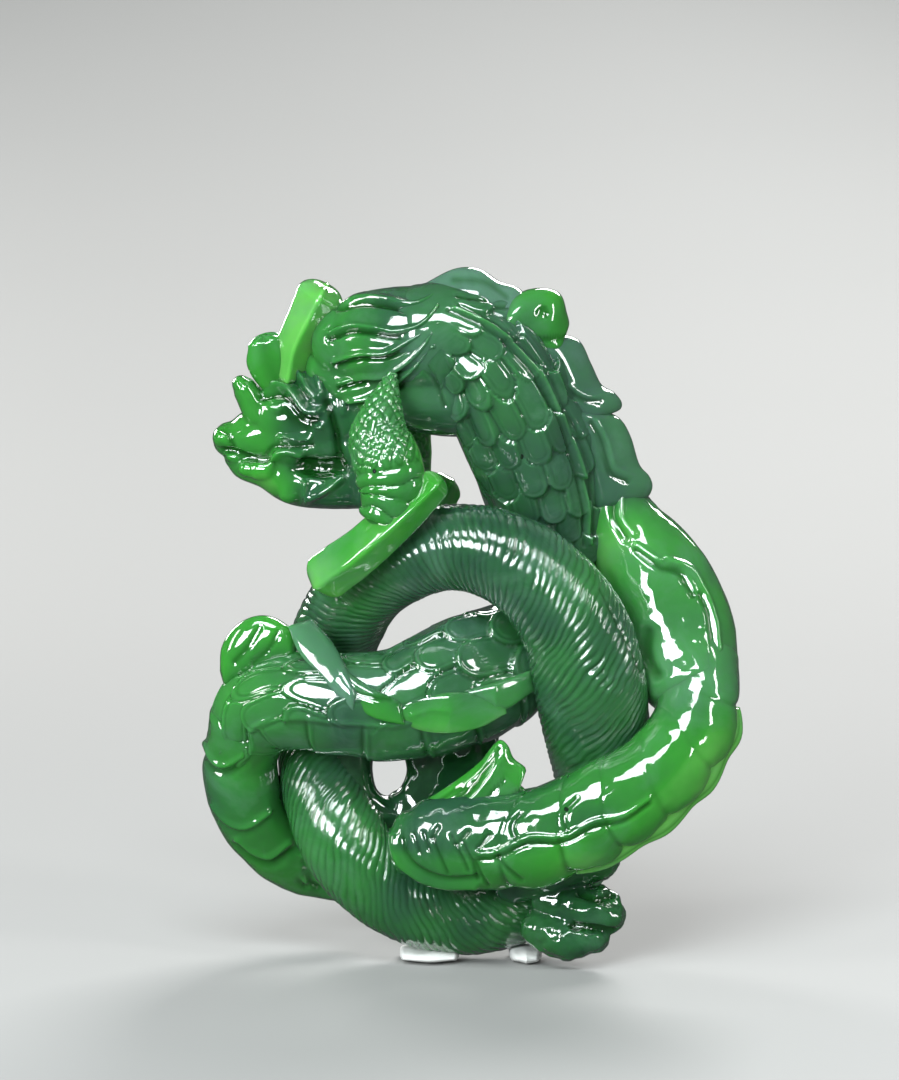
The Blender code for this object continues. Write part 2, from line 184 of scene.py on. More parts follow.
def jade_material(name, grained):
    """Polished nephrite: grey-green where thick, clear green where thin as a painted glow of light through
    the stone, and painted shade darker in the cuts.
    """
    mat, tree, shader = new_material(name, POLISH)
    place = add_node(tree, "TexCoord", output="Object")
    thin, cut, milk_and_sheen = [add_node(tree, "Attribute", output="Fac", attribute_name=label)
                       for label in ("thin", "cut", "milk_and_sheen")]
    # thin share, the painted glow of light through thin stone, moved a little by the cloudy stone
    cloud = add_node(tree, "TexNoise", {"Vector": place, "Scale": 95.0, "Detail": 4.0, "Roughness": 0.55},
                     "Fac")
    spread = add_node(tree, "Math", {0: cloud, 1: 0.7, 2: thin}, operation="MULTIPLY_ADD")
    shift = add_node(tree, "Math", {0: spread, 1: 0.35}, operation="SUBTRACT", use_clamp=True)
    colour = colour_ramp(tree, shift, ((0.0, DEEP), (0.68, BRIGHT), (1.0, PALE)))
    # milky clouds drifting through the stone, plus each part's milk share, which is painted sheen of broad
    # reflected light
    drift = add_node(tree, "TexNoise", {"Vector": place, "Scale": 150.0, "Detail": 5.0, "Roughness": 0.6,
                                        "Distortion": 0.8}, "Fac")
    share = add_node(tree, "MapRange", {"Value": drift, "From Min": 0.48, "From Max": 0.78, "To Max": 0.45})
    haze = add_node(tree, "Math", {0: share, 1: milk_and_sheen}, operation="ADD", use_clamp=True)
    colour = mixed(tree, haze, colour, MILK_AND_SHEEN)
    # painted shade: darker, purer green at the bottom of the cuts and in recesses
    colour = mixed(tree, cut, colour, GROOVE_SHADE_TINT, "MULTIPLY")
    # small dark flecks in the stone
    cells = add_node(tree, "TexVoronoi", {"Vector": place, "Scale": 130.0}, "Distance")
    speck = add_node(tree, "Math", {0: cells, 1: 0.030}, operation="LESS_THAN")
    tree.links.new(mixed(tree, speck, colour, FLECK), shader.inputs["Base Color"])
    # faint waviness of the hand polish
    wave = add_node(tree, "TexNoise", {"Vector": place, "Scale": 420.0, "Detail": 5.0}, "Fac")
    normal = bumped(tree, wave, 0.14, 0.0002)
    if grained:
        # fine hair lines along the threads, then the crest of each thread from its running number
        lines = add_node(tree, "Attribute", output="Vector", attribute_name="grain")
        hair = add_node(tree, "TexNoise", {"Vector": lines, "Scale": 1.0, "Detail": 5.0, "Roughness": 0.65},
                        "Fac")
        normal = bumped(tree, hair, 0.22, 0.00012, normal)
        number = add_node(tree, "SeparateXYZ", {0: lines}, "X")
        angle = add_node(tree, "Math", {0: number, 1: math.pi / RIDGE_RUN}, operation="MULTIPLY")
        swing = add_node(tree, "Math", {0: angle}, operation="SINE")
        crest = add_node(tree, "Math", {0: swing}, operation="ABSOLUTE")
        normal = bumped(tree, crest, 0.35, 0.00011, normal)
    tree.links.new(normal, shader.inputs["Normal"])
    return mat


JADE = jade_material("jade_polished", False)
JADE_GRAINED = jade_material("jade_grained", True)


def putty_material():
    """Matte white putty with a pinched, slightly uneven skin."""
    mat, tree, shader = new_material("putty", {"Roughness": 0.75})
    place = add_node(tree, "TexCoord", output="Object")
    cloud = add_node(tree, "TexNoise", {"Vector": place, "Scale": 500.0}, "Fac")
    colour = colour_ramp(tree, cloud, ((0.0, (0.62, 0.63, 0.60, 1.0)), (1.0, (0.84, 0.84, 0.82, 1.0))))
    tree.links.new(colour, shader.inputs["Base Color"])
    tree.links.new(bumped(tree, cloud, 0.4, 0.0003), shader.inputs["Normal"])
    return mat


PUTTY = putty_material()

# ---- swept members


class Skin:
    """Places on the skin of a member, and the layers that its material reads."""

    def __init__(self, points, u=0.0, psi=0.0, radius=1.0, share=0.0, scale=1.0):
        """`u` is the place along the member in mm, `share` the same from 0 to 1, `psi` the angle round it."""
        self.p, self.x, self.z = points, points[..., 0], points[..., 2]
        self.u, self.share, self.psi = u, share, psi
        self.radius, self.scale = radius, scale
        self.arc = radius * (psi - math.pi)
        # the layers paint the glow of light through thin stone, shade in grooves and recesses, and milky
        # cloud with sheen
        self.thin, self.cut, self.milk_and_sheen = np.zeros((3,) + points.shape[:2])
        self.grain = None

    def paint_shade(self, cut):
        """Painted shade: the stone is painted at least this dark in its cuts and recesses."""
        self.cut = np.maximum(self.cut, cut)


def paint(mesh, label, values):
    """One number at each corner of the mesh."""
    mesh.attributes.new(label, "FLOAT", "POINT").data.foreach_set("value", values.astype(np.float32))


def body_mesh(name, grid, start_pole, end_pole, skin, mat):
    """Closed mesh from rings of points, with its colour attributes."""
    n, m = grid.shape[:2]
    points = (np.vstack([grid.reshape(-1, 3), start_pole[None], end_pole[None]]) - CENTRE) * MM
    first = np.arange(n - 1)[:, None] * m
    ring = np.arange(m)
    turned = (ring + 1) % m
    quads = np.stack([first + ring, first + turned, first + m + turned, first + m + ring], -1)
    fans = np.vstack([np.stack([np.full(m, n * m), turned, ring], -1),
                      np.stack([np.full(m, n * m + 1), (n - 1) * m + ring, (n - 1) * m + turned], -1)])
    a, b, c = [points[quads[..., k]] - points[:-2].mean(0) for k in range(3)]
    if np.sum(a * np.cross(b, c)) < 0.0:
        # inside out
        quads, fans = quads[..., ::-1], fans[:, ::-1]
    mesh = bpy.data.meshes.new(name)
    mesh.from_pydata(points, [], quads.reshape(-1, 4).tolist() + fans.tolist())
    mesh.validate()
    mesh.polygons.foreach_set("use_smooth", np.ones(len(mesh.polygons), dtype=bool))
    for label, values, low in (("thin", skin.thin, 0.0), ("cut", skin.cut, 0.0), ("milk_and_sheen", skin.milk_and_sheen, -1.0)):
        full = np.concatenate([np.broadcast_to(values, (n, m)).ravel(), values[0, :1], values[-1, :1]])
        paint(mesh, label, np.clip(full, low, 1.0))
    if skin.grain is not None:
        full = np.vstack([skin.grain.reshape(-1, 3), skin.grain[0, :1], skin.grain[-1, :1]])
        layer = mesh.attributes.new("grain", "FLOAT_VECTOR", "POINT")
        layer.data.foreach_set("vector", full.astype(np.float32).ravel())
    mesh.materials.append(mat)
    body = bpy.data.objects.new(name, mesh)
    bpy.context.scene.collection.objects.link(body)
    return body


def sweep(name, rows, relief=None, step=0.2, around=64, start=0.7, end=0.7, mat=JADE):
    """Member swept along rows of x, y, z, half width and half depth in mm.

    `start` and `end` are how far the rounded tips reach, as a share of the section.
    """
    at, dense = evenly(rows, step)
    centre, width, thick = dense[:, :3], dense[:, 3], dense[:, 4]
    tangent = unit(np.gradient(centre, axis=0))
    blocks = [(centre, tangent, width, thick, np.ones(len(at)), np.zeros(len(at)), at)]
    poles = []
    for sign, k, reach in ((-1.0, 0, start), (1.0, -1, end)):
        far = reach * min(width[k], thick[k])
        count = max(int(far * 1.6 / step), 5)
        lean = np.sort(sign * (np.arange(count) + 0.5) / count * (math.pi / 2))
        tip = (centre[k] + tangent[k] * (far * np.sin(lean))[:, None], np.repeat(tangent[[k]], count, 0),
               np.full(count, width[k]), np.full(count, thick[k]), np.cos(lean), lean, at[k] + far * lean)
        blocks.insert(0 if sign < 0.0 else 2, tip)
        poles.append(centre[k] + sign * tangent[k] * far)
    centre, tangent, width, thick, scale, lean, u = [np.concatenate(part) for part in zip(*blocks)]
    side = unit(np.cross(BACKWARD, tangent))
    depth = np.cross(tangent, side)
    psi = (np.arange(around) / around * TURN)[None, :]
    theta = psi + math.pi / 2
    cos, sin = np.cos(theta)[..., None], np.sin(theta)[..., None]
    w, d, shrink = [values[:, None, None] for values in (width, thick, scale)]
    to_side, to_depth = side[:, None, :], depth[:, None, :]
    points = centre[:, None, :] + to_side * (w * shrink) * cos + to_depth * (d * shrink) * sin
    outward = unit(to_side * cos / w + to_depth * sin / d)
    tilt = lean[:, None, None]
    outward = outward * np.cos(tilt) + tangent[:, None, :] * np.sin(tilt)
    skin = Skin(points, u[:, None], psi, 0.5 * (w + d)[..., 0], (u / at[-1])[:, None], scale[:, None])
    if relief is not None:
        points = points + outward * (relief(skin) * np.sqrt(skin.scale))[..., None]
    return body_mesh(name, points, poles[0], poles[1], skin, mat)


def wear(obj, slot, *nodes):
    """The piece rides on the stone and stands for these members, or for the one that it is named after."""
    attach(obj, "root")
    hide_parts(*(nodes or (obj.name.split(".")[0],)))


# ---- carved reliefs


def stone(skin, thin, uneven=0.10):
    """Hand-carved unevenness, and how thin the stone looks, which paints a glow of light through it into the
    colour.
    """
    skin.thin = skin.thin + thin + 0.16 * noise(skin.p, 3.5, 3)
    return uneven * noise(skin.p, 2.6, 1) + 0.3 * uneven * noise(skin.p, 0.9, 2)


def lapping_scales(skin, columns, pitch, seed, lift, crown, line, tip):
    """Rounded scales lapping one row over the next, each tilted a little, with a double outline."""
    a = skin.psi / TURN * columns + 0.16 * noise(skin.p, 4.0, seed + 61)
    b = skin.u / pitch + 0.22 * noise(skin.p, 4.0, seed + 60)
    cell = TURN * skin.radius / columns
    half = 0.5 * cell
    reach = 1.55 * pitch
    straight = reach - 1.1 * half
    rise = np.zeros(a.shape)
    cut = np.zeros(a.shape)
    free = np.ones(a.shape, dtype=bool)
    for back in (1, 0):
        j = np.floor(b) - back
        shift = 0.5 * np.mod(j, 2)
        i = np.round(a - shift)
        x = (a - shift - i) * cell
        y = (b - j) * pitch
        below = np.maximum(y - straight, 0.0)
        inside = (1.0 - np.hypot(x / half, below / (1.1 * half))) * half
        own = free & (inside > 0.0) if back else free
        tilt_x = (lattice(i % columns, j, 1.0, seed) - 0.5) * tip
        tilt_y = (lattice(i % columns, j, 2.0, seed) - 0.5) * tip
        level = (lattice(i % columns, j, 3.0, seed) - 0.5) * 0.10
        lap = lift * (y / reach - 0.5) + crown * (1.0 - (x / half) ** 2) + tilt_x * x
        lap = lap + tilt_y * (y - 0.9 * pitch) * 0.6 + level
        edge = bell(inside, 0.13)
        inner = bell(inside - 0.50, 0.09)
        rise = np.where(own, lap - line * edge - 0.4 * line * inner, rise)
        # painted shade in the double outline of each scale
        cut = np.where(own, 0.8 * edge + 0.35 * inner, cut)
        free = free & ~own
    skin.paint_shade(cut)
    return rise


THREAD_PITCH = 0.60
THREAD_HEIGHT = 0.10
UPPER_THREADS = 80
RING_THREADS = UPPER_THREADS + 55


def hair_ridges(skin, slope, ends, threads):
    """Fine threads running round the coil at the given slope in degrees, parted by narrow grooves.

    `threads` are the running numbers of the threads at the two `ends`, places along the coil in mm.
    """
    alpha = np.radians(slope)
    du = np.gradient(skin.u[:, 0])
    along = np.cumsum(np.cos(alpha[:, 0]) / THREAD_PITCH * du)
    first, last = np.interp(ends, skin.u[:, 0], along)
    along = (threads[0] + (along - first) / (last - first) * (threads[1] - threads[0]))[:, None]
    lean = np.sin(alpha) / THREAD_PITCH
    wander = 0.55 * noise(skin.p, 3.0, 11) + 0.22 * noise(skin.p, 1.1, 12)
    phase = along - lean * skin.arc + wander
    thread = np.floor(phase)
    off_crest = phase - thread - 0.5
    from_groove = 0.5 - np.abs(off_crest)
    groove = bell(from_groove, 0.13)
    crest = np.sqrt(np.clip(from_groove * 2.0, 0.0, 1.0))
    seam = smooth(0.10, 0.35, skin.psi) * smooth(0.10, 0.35, TURN - skin.psi)
    strength = np.clip(0.70 + 0.80 * noise(skin.p, 2.0, 13), 0.08, 1.5) * seam
    number = np.mod(thread, RING_THREADS)
    step = (lattice(number, np.floor(skin.arc / 3.0), 0.0, 4) - 0.5) * 0.05
    tilt = (lattice(number, 7.0, 0.0, 5) - 0.5) * off_crest * 0.24
    # painted shade in the narrow grooves between the threads
    skin.paint_shade(0.32 * groove * strength)
    skin.grain = np.stack([phase * RIDGE_RUN, skin.arc * 0.5 + 0 * phase, skin.u * 0.35 + 0 * phase], -1)
    # on the right of the ring each thread laps a little over the one below it and so catches the light
    lap = (0.17 + 0.17 * smooth(32.0, 25.0, skin.z)) * smooth(2.0, 8.0, skin.x)
    lap = lap * off_crest * smooth(0.0, 0.12, from_groove)
    return strength * (THREAD_HEIGHT * (crest - 0.7) + step + tilt + lap - 0.04 * groove)


def lapped(skin, pitch, height, belly):
    """Broad plates lapping one over the next on the belly, their edges bowed along the coil."""
    bowed = 0.05 * skin.arc ** 2 / np.maximum(skin.radius, 1.0)
    s = (skin.u + bowed) / pitch
    s = s - np.floor(s)
    lip = s ** 1.6 * smooth(1.0, 0.93, s)
    line = bell((s - 1.0) * pitch, 0.16) + bell(s * pitch, 0.16)
    inner = bell((s - 0.86) * pitch, 0.12)
    # painted shade in the lines between the plates
    skin.paint_shade((0.7 * line + 0.25 * inner) * belly)
    return belly * (height * (lip - 0.4) - 0.10 * line - 0.05 * inner)


def smooth_line(line, per):
    """Smooth path through points of x, z."""
    return curve([(x, 0.0, z) for x, z in line], per=per)[:, ::2]


def distance_to(x, z, line, per):
    """Distance in mm of points x, z from a smooth line."""
    path = smooth_line(line, per)
    near = np.full(x.shape, 1e9)
    for a, b in zip(path[:-1], path[1:]):
        e = b - a
        t = np.clip(((x - a[0]) * e[0] + (z - a[1]) * e[1]) / max(float(e @ e), 1e-9), 0.0, 1.0)
        near = np.minimum(near, np.hypot(x - a[0] - t * e[0], z - a[1] - t * e[1]))
    return near


def engrave(skin, line, width, depth):
    """Groove along a line of x, z in mm, cut into the front of a member."""
    front = smooth(0.9, 1.3, skin.psi) * smooth(0.9, 1.3, TURN - skin.psi)
    cut = bell(distance_to(skin.x, skin.z, line, 8), width) * front
    # painted shade along the groove
    skin.paint_shade(cut * 0.8)
    return -depth * cut


def resampled(line, count):
    """Points at even spacing along a smooth line of x, z."""
    path = smooth_line(line, 12)
    length = lengths(path)
    at = np.linspace(0.0, length[-1], count)
    return np.stack([np.interp(at, length, path[:, 0]), np.interp(at, length, path[:, 1])], 1)


def stroke_field(x, z, strokes):
    """Height of raised (positive) and engraved (negative) strokes at x, z."""
    total = np.zeros(x.shape)
    for line, width, height in strokes:
        total = total + height * bell(distance_to(x, z, line, 6), width)
    return total


def alike(width, height, *lines):
    """Strokes of one width and height."""
    return [(line, width, height) for line in lines]


def moved(line, dx, dz):
    """The line of x, z moved by dx, dz."""
    return [(x + dx, z + dz) for x, z in line]


def carve(skin, strokes):
    """Strokes at x, z carved into the front of a member and through to its back."""
    rise = stroke_field(skin.x, skin.z, strokes)
    # engraved strokes are painted dark with shade
    skin.paint_shade(np.clip(-rise * 2.2, 0.0, 0.8))
    return rise


def window(skin, low, full, fading, gone):
    """One between `full` and `fading`, zero outside `low` to `gone`, in half turns round the section."""
    turned = skin.psi / math.pi
    return smooth(low, full, turned) * smooth(gone, fading, turned)


def facets(skin, faces, sharp=9.0):
    """Turns the round section into one cut by faces of heading in degrees and distance."""
    theta = skin.psi + math.pi / 2
    total = 0.0
    for heading, reach in faces:
        cosine = np.cos(theta - math.radians(heading))
        total = total + np.maximum(cosine / reach, 0.0) ** sharp
    radius = np.maximum(total, 1e-6) ** (-1.0 / sharp)
    return (radius - 1.0) * skin.radius * skin.scale + 0 * skin.u


# ---- fins, plates and fused lumps


def on_coil(rows, place, heading, sink):
    """Foot point, outward and across directions of a fin on a coil."""
    fine = curve(rows)
    at = place * (len(fine) - 1)
    low = int(min(at, len(fine) - 2))
    row = fine[low] + (fine[low + 1] - fine[low]) * (at - low)
    forward = unit(fine[min(low + 3, len(fine) - 1), :3] - fine[max(low - 2, 0), :3])
    side = unit(np.cross(BACKWARD, forward))
    depth = np.cross(forward, side)
    angle = math.radians(heading)
    outward = side * math.cos(angle) + depth * math.sin(angle)
    shell = 1.0 / math.hypot(math.cos(angle) / row[3], math.sin(angle) / row[4])
    return row[:3] + outward * (shell - sink), outward, np.cross(forward, outward)


def fin(name, rows, start, end, heading, heights, half, thin, sink):
    """Plate with a rounded free edge standing on a coil, engraved along its outline."""
    count, around = 46, 40
    part = np.linspace(0.0, 1.0, count)
    height = np.interp(part, np.linspace(0, 1, len(heights)), heights)
    for _ in range(4):
        height[1:-1] = 0.25 * height[:-2] + 0.5 * height[1:-1] + 0.25 * height[2:]
    psi = (np.arange(around) / around * TURN)[None, :]
    up = 0.5 * (1.0 - np.cos(psi))
    flat = np.sign(np.sin(psi[0])) * np.abs(np.sin(psi[0])) ** 0.75
    grid = np.zeros((count, around, 3))
    for i, p in enumerate(part):
        foot, outward, across = on_coil(rows, start + (end - start) * p, heading, sink)
        rise = (height[i] + sink) * up[0]
        taper = half * (1.0 - 0.45 * up[0])
        ease = math.sqrt(max(1.0 - (2 * p - 1) ** 6, 0.02))
        grid[i] = foot + outward * rise[:, None] + across * (flat * taper * ease)[:, None]
    share = part[:, None]
    skin = Skin(grid)
    # the free edge is painted lighter as the glow of light through thin stone, and the groove along the
    # outline is painted dark with shade
    skin.thin = np.full((count, around), thin) + 0.3 * up
    groove = bell(up - 0.80, 0.05) * smooth(0.0, 0.15, share) * smooth(1.0, 0.85, share)
    skin.cut = groove * 0.6
    across = on_coil(rows, (start + end) / 2, heading, sink)[2]
    grid = grid - across * (0.12 * groove * np.sign(np.sin(psi)))[..., None]
    grid = grid + across * (0.05 * noise(grid, 1.2, 7))[..., None]
    return body_mesh(name, grid, grid[0].mean(0), grid[-1].mean(0), skin, JADE)


def plate(name, root, edge, y, half, thin=(0.5, 0.9), strokes=(), flare=0.0, taper=0.35, milk_and_sheen=0.0):
    """Plate between a root line and a free edge, both of x, z, at the depths y along it.

    `flare` moves the free edge in depth, `taper` thins it towards that edge.
    """
    count, around = 70, 56
    inner, outer = resampled(root, count), resampled(edge, count)
    place = np.linspace(0.0, 1.0, count)[:, None]
    psi = (np.arange(around) / around * TURN)[None, :]
    across = 0.5 * (1.0 - np.cos(psi))
    sign = np.sign(np.sin(psi)) + 0.0
    fat = np.abs(np.sin(psi)) ** 0.75 * half * (1.0 - taper * across)
    ease = np.sqrt(np.clip(1.0 - np.abs(2.0 * place - 1.0) ** 10, 0.03, 1.0))
    x = inner[:, :1] + (outer[:, :1] - inner[:, :1]) * across
    z = inner[:, 1:] + (outer[:, 1:] - inner[:, 1:]) * across
    depth = np.interp(place[:, 0], np.linspace(0, 1, len(y)), y)[:, None]
    grid = np.stack([x, depth + flare * across + sign * fat * ease, z], -1)
    skin = Skin(grid)
    # painted glow of light through thin stone, lighter towards the free edge, milky cloud and painted sheen
    # on the face, and the engraved strokes painted dark with shade
    skin.thin = thin[0] + (thin[1] - thin[0]) * across + 0.15 * noise(grid, 2.5, 5)
    skin.milk_and_sheen += milk_and_sheen * (0.6 + 0.8 * across)
    rise = stroke_field(grid[..., 0], grid[..., 2], strokes)
    skin.cut = np.clip(-rise * 3.0, 0.0, 0.6)
    grid[..., 1] += sign * (rise + 0.06 * noise(grid, 1.3, 7)) * np.clip(fat / half, 0.0, 1.0)
    return body_mesh(name, grid, grid[0].mean(0), grid[-1].mean(0), skin, JADE)


def fused(name, parts, voxel, passes, strokes=(), grit=None, thin=0.4, shade=0.0, milk_and_sheen=0.0):
    """One skin over several overlapping lumps, softened, then embossed with strokes.

    `voxel` is the fineness of the skin in mm, `passes` how often it is softened, `grit` adds fine
    relief, and `thin`, `shade` and `milk_and_sheen` set the painted glow of thin stone, the painted shade,
    and the milky cloud with painted sheen of the stone.
    """
    verts, faces = [], []
    for rows in parts:
        lump = sweep(name + "_lump", rows, step=0.4, around=36, start=0.9, end=0.9)
        mesh, offset = lump.data, len(verts)
        verts += [v.co.copy() for v in mesh.vertices]
        faces += [[i + offset for i in p.vertices] for p in mesh.polygons]
        bpy.data.objects.remove(lump)
        bpy.data.meshes.remove(mesh)
    mesh = bpy.data.meshes.new(name)
    mesh.from_pydata(verts, [], faces)
    body = bpy.data.objects.new(name, mesh)
    bpy.context.scene.collection.objects.link(body)
    remesh = body.modifiers.new("skin", "REMESH")
    remesh.mode = "VOXEL"
    remesh.voxel_size = voxel * MM
    soften = body.modifiers.new("soften", "SMOOTH")
    soften.factor = 0.5
    soften.iterations = passes
    ready = bpy.data.meshes.new_from_object(body.evaluated_get(bpy.context.evaluated_depsgraph_get()))
    body.modifiers.clear()
    body.data = ready
    bpy.data.meshes.remove(mesh)
    count = len(ready.vertices)
    points, normals = np.empty(count * 3, np.float32), np.empty(count * 3, np.float32)
    ready.vertices.foreach_get("co", points)
    ready.vertices.foreach_get("normal", normals)
    p = points.reshape(-1, 3) / MM + CENTRE
    n = normals.reshape(-1, 3)
    flank = smooth(0.05, 0.45, np.abs(n[:, 1]))
    rise = stroke_field(p[:, 0], p[:, 2], strokes) * flank
    total = rise + 0.04 * noise(p, 1.8, 71) + 0.012 * noise(p, 0.6, 72)
    if grit is not None:
        total = total + grit(p)
    p = p + n * total[:, None]
    ready.vertices.foreach_set("co", ((p - CENTRE) * MM).astype(np.float32).ravel())
    share = thin(p) if callable(thin) else np.full(count, thin)
    share = share + 0.15 * noise(p, 3.0, 73)
    paint(ready, "thin", np.clip(share, 0.0, 1.0))
    # painted shade: the part's shade level, deepened along the engraved strokes
    paint(ready, "cut", np.clip(shade - rise * 2.6, 0.0, 0.9))
    paint(ready, "milk_and_sheen", np.full(count, milk_and_sheen))
    ready.polygons.foreach_set("use_smooth", np.ones(len(ready.polygons), dtype=bool))
    ready.materials.clear()
    ready.materials.append(JADE)
    ready.name = name
    ready.update()
    return body


# ---- coils

RING = [
    (-1.8, -3.0, 37.4, 3.8, 3.8),
    (2.3, -4.0, 36.9, 4.0, 3.9),
    (5.9, -4.4, 34.7, 4.3, 4.0),
    (8.9, -4.4, 30.8, 4.7, 4.2),
    (10.4, -3.6, 26.0, 5.0, 4.2),
    (11.2, -1.2, 20.6, 4.6, 4.0),
    (11.6, 2.1, 16.2, 4.0, 3.6),
    (11.5, 3.5, 13.0, 3.6, 3.4),
    (10.0, 3.8, 9.6, 3.4, 3.2),
    (6.8, 3.0, 6.2, 3.4, 3.2),
    (2.4, 0.8, 4.4, 3.6, 3.5),
    (-2.6, 0.0, 4.4, 3.6, 3.6),
    (-7.2, -0.6, 6.6, 3.8, 3.7),
    (-10.8, -0.8, 10.4, 4.0, 3.7),
    (-12.8, 1.2, 15.0, 3.9, 3.6),
    (-13.4, 4.2, 19.6, 3.8, 3.5),
    (-13.2, 5.4, 24.2, 3.9, 3.5),
    (-11.8, 3.9, 29.2, 3.9, 3.6),
    (-9.6, 1.2, 33.1, 3.8, 3.7),
    (-6.2, -1.2, 36.0, 3.8, 3.8),
]
SCRATCH = [(11.2, 34.2), (12.6, 31.4), (14.0, 28.6), (15.2, 25.8)]
# the ring is cut in two at rows 6 and 15; each part runs on past the cut, sunk under the other's skin
CUT_LOW, CUT_LEFT = 6, 15
PER_ROW = 24
TUCK = 5
TUCK_DEPTH = 0.25
ROUNDS = curve(RING + RING + RING[:1], per=PER_ROW)


def ring_half(name, first, last, threads, places, slopes):
    """Part of the ring between two of its rows; the threads have these slopes at these places."""
    rows = ROUNDS[first * PER_ROW - TUCK:last * PER_ROW + TUCK + 1]
    length = lengths(rows[:, :3])
    ends = (length[TUCK], length[-1 - TUCK])

    def relief(skin):
        """Hair threads, one scratch, and both ends sunk under the other part."""
        x, z = skin.x, skin.z
        slope = np.interp(skin.u[:, 0], np.interp(places, (0.0, 1.0), ends), slopes)[:, None]
        past = np.maximum(ends[0] - skin.u, skin.u - ends[1])
        # the ring is painted lighter towards the bottom and the left; on the right the extra lightness and
        # milk are painted light
        right = smooth(4.0, 9.0, x)
        skin.thin = 0.02 + 0.14 * smooth(16.0, 4.0, z) + 0.16 * smooth(-4.0, -10.0, x) + 0.13 * right
        skin.milk_and_sheen += 0.02 + 0.05 * right
        rise = stone(skin, 0.0, 0.07) + hair_ridges(skin, slope, ends, threads)
        return rise + engrave(skin, SCRATCH, 0.09, 0.12) - TUCK_DEPTH * smooth(0.02, 0.60, past)

    wear(sweep(name, rows, relief, step=0.11, around=132, start=0.2, end=0.2, mat=JADE_GRAINED), "deep_jade")


ring_half("ring_coil_upper", CUT_LEFT, len(RING) + CUT_LOW, (0, UPPER_THREADS),
          (0.0, 0.42, 0.55, 1.0), (40.0, 15.0, 17.0, 53.0))
ring_half("ring_coil_lower", CUT_LOW, CUT_LEFT, (UPPER_THREADS, RING_THREADS),
          (0.0, 0.5, 1.0), (53.0, 36.0, 40.0))

UPPER = [
    (-4.6, 0.2, 55.6, 4.7, 4.8),
    (-1.4, 0.2, 55.4, 5.1, 5.0),
    (1.4, 0.3, 53.6, 5.6, 5.2),
    (3.5, 0.6, 50.6, 5.9, 5.2),
    (5.6, 1.6, 46.0, 5.9, 4.9),
    (7.1, 3.2, 41.0, 5.6, 4.5),
    (8.3, 4.6, 35.8, 5.0, 4.1),
    (9.0, 5.6, 31.0, 4.4, 3.7),
    (8.4, 5.8, 27.0, 3.6, 3.2),
]
SPINE = [(-1.4, 58.4), (1.2, 57.2), (3.2, 55.8), (4.8, 54.2), (6.0, 52.8), (7.5, 50.2), (8.8, 47.6),
         (9.7, 44.8), (10.3, 41.5), (10.6, 37.4)]
SPINE_STROKES = [
    (SPINE, 0.15, 0.34),
    (moved(SPINE, -0.50, -0.20), 0.16, -0.26),
    (moved(SPINE, 0.45, 0.20), 0.16, -0.22),
]
CREST_LINE = [(-1.2, 59.4), (1.2, 58.9), (3.4, 58.4), (4.6, 58.8)]


def upper_relief(skin):
    """Small lapping scales beside a raised line, smooth under the hole."""
    scales = lapping_scales(skin, 14, 2.8, seed=5, lift=0.20, crown=-0.02, line=0.14, tip=0.80)
    fade = smooth(2.0, 4.5, skin.u) * (1.0 - window(skin, 1.32, 1.42, 1.66, 1.76))
    spine = stroke_field(skin.x, skin.z, SPINE_STROKES)
    # painted shade between the scales and in the grooves beside the raised spine line, whose crest is painted
    # lighter green as a painted highlight
    below_crest = spine - 0.38
    between_scales = skin.cut * fade * 0.6 * (1.0 - bell(below_crest, 0.25))
    skin.cut = np.maximum(between_scales, np.clip(-spine * 2.2, 0.0, 0.7))
    skin.thin = 0.2 * bell(below_crest, 0.2)
    skin.milk_and_sheen += 0.12
    return stone(skin, 0.05, 0.08) + scales * fade + spine + engrave(skin, CREST_LINE, 0.13, 0.17)


wear(sweep("upper_coil", UPPER, upper_relief, step=0.13, around=220), "deep_jade")

NECK = [
    (-10.8, 1.6, 54.9, 3.7, 3.6),
    (-8.8, 1.0, 55.2, 4.4, 4.4),
    (-5.6, 0.4, 55.4, 4.7, 4.8),
    (-2.0, 0.2, 55.2, 4.9, 4.9),
]
CHEST = [
    [(-8.4, 1.6, 51.2, 2.0, 3.0), (-5.0, 1.4, 50.9, 3.6, 4.0), (-1.0, 1.4, 50.6, 3.9, 4.2),
     (2.0, 1.2, 50.0, 3.0, 4.0)],
    [(-12.4, 2.6, 52.8, 2.4, 2.8), (-10.4, 2.0, 51.8, 3.0, 3.4), (-8.2, 1.6, 51.0, 2.8, 3.2)],
]


def folds(*lines):
    """Each line a groove with a raised, light-catching edge above it."""
    return alike(0.26, -0.46, *lines) + alike(0.28, 0.40, *[moved(line, 0.0, 0.42) for line in lines])


NECK_STROKES = folds(
    [(-11.6, 58.2), (-9.6, 58.7), (-7.4, 58.6), (-5.0, 58.2), (-3.2, 58.8), (-1.6, 59.6)],
    [(-12.2, 55.6), (-10.4, 56.3), (-8.4, 56.2), (-6.6, 55.9), (-4.6, 56.3), (-3.2, 57.4), (-2.2, 58.8)],
    [(-11.8, 53.2), (-9.6, 53.9), (-7.4, 54.0), (-5.6, 54.9), (-4.0, 56.0), (-2.8, 57.8)],
    [(-11.4, 51.2), (-9.4, 51.8), (-7.4, 52.0), (-5.2, 53.4), (-3.8, 54.9), (-2.8, 56.6)],
    [(-10.6, 49.6), (-8.6, 50.0), (-6.6, 51.2), (-4.6, 53.0), (-3.4, 54.6)],
) + alike(
    0.20, -0.22,
    [(-3.0, 56.6), (-1.8, 54.4), (-1.2, 51.6)],
    [(-4.2, 53.6), (-3.0, 52.0), (-2.2, 49.8)],
) + [([(-2.0, 58.4), (-1.6, 55.4), (-0.6, 52.6)], 0.20, -0.25)]


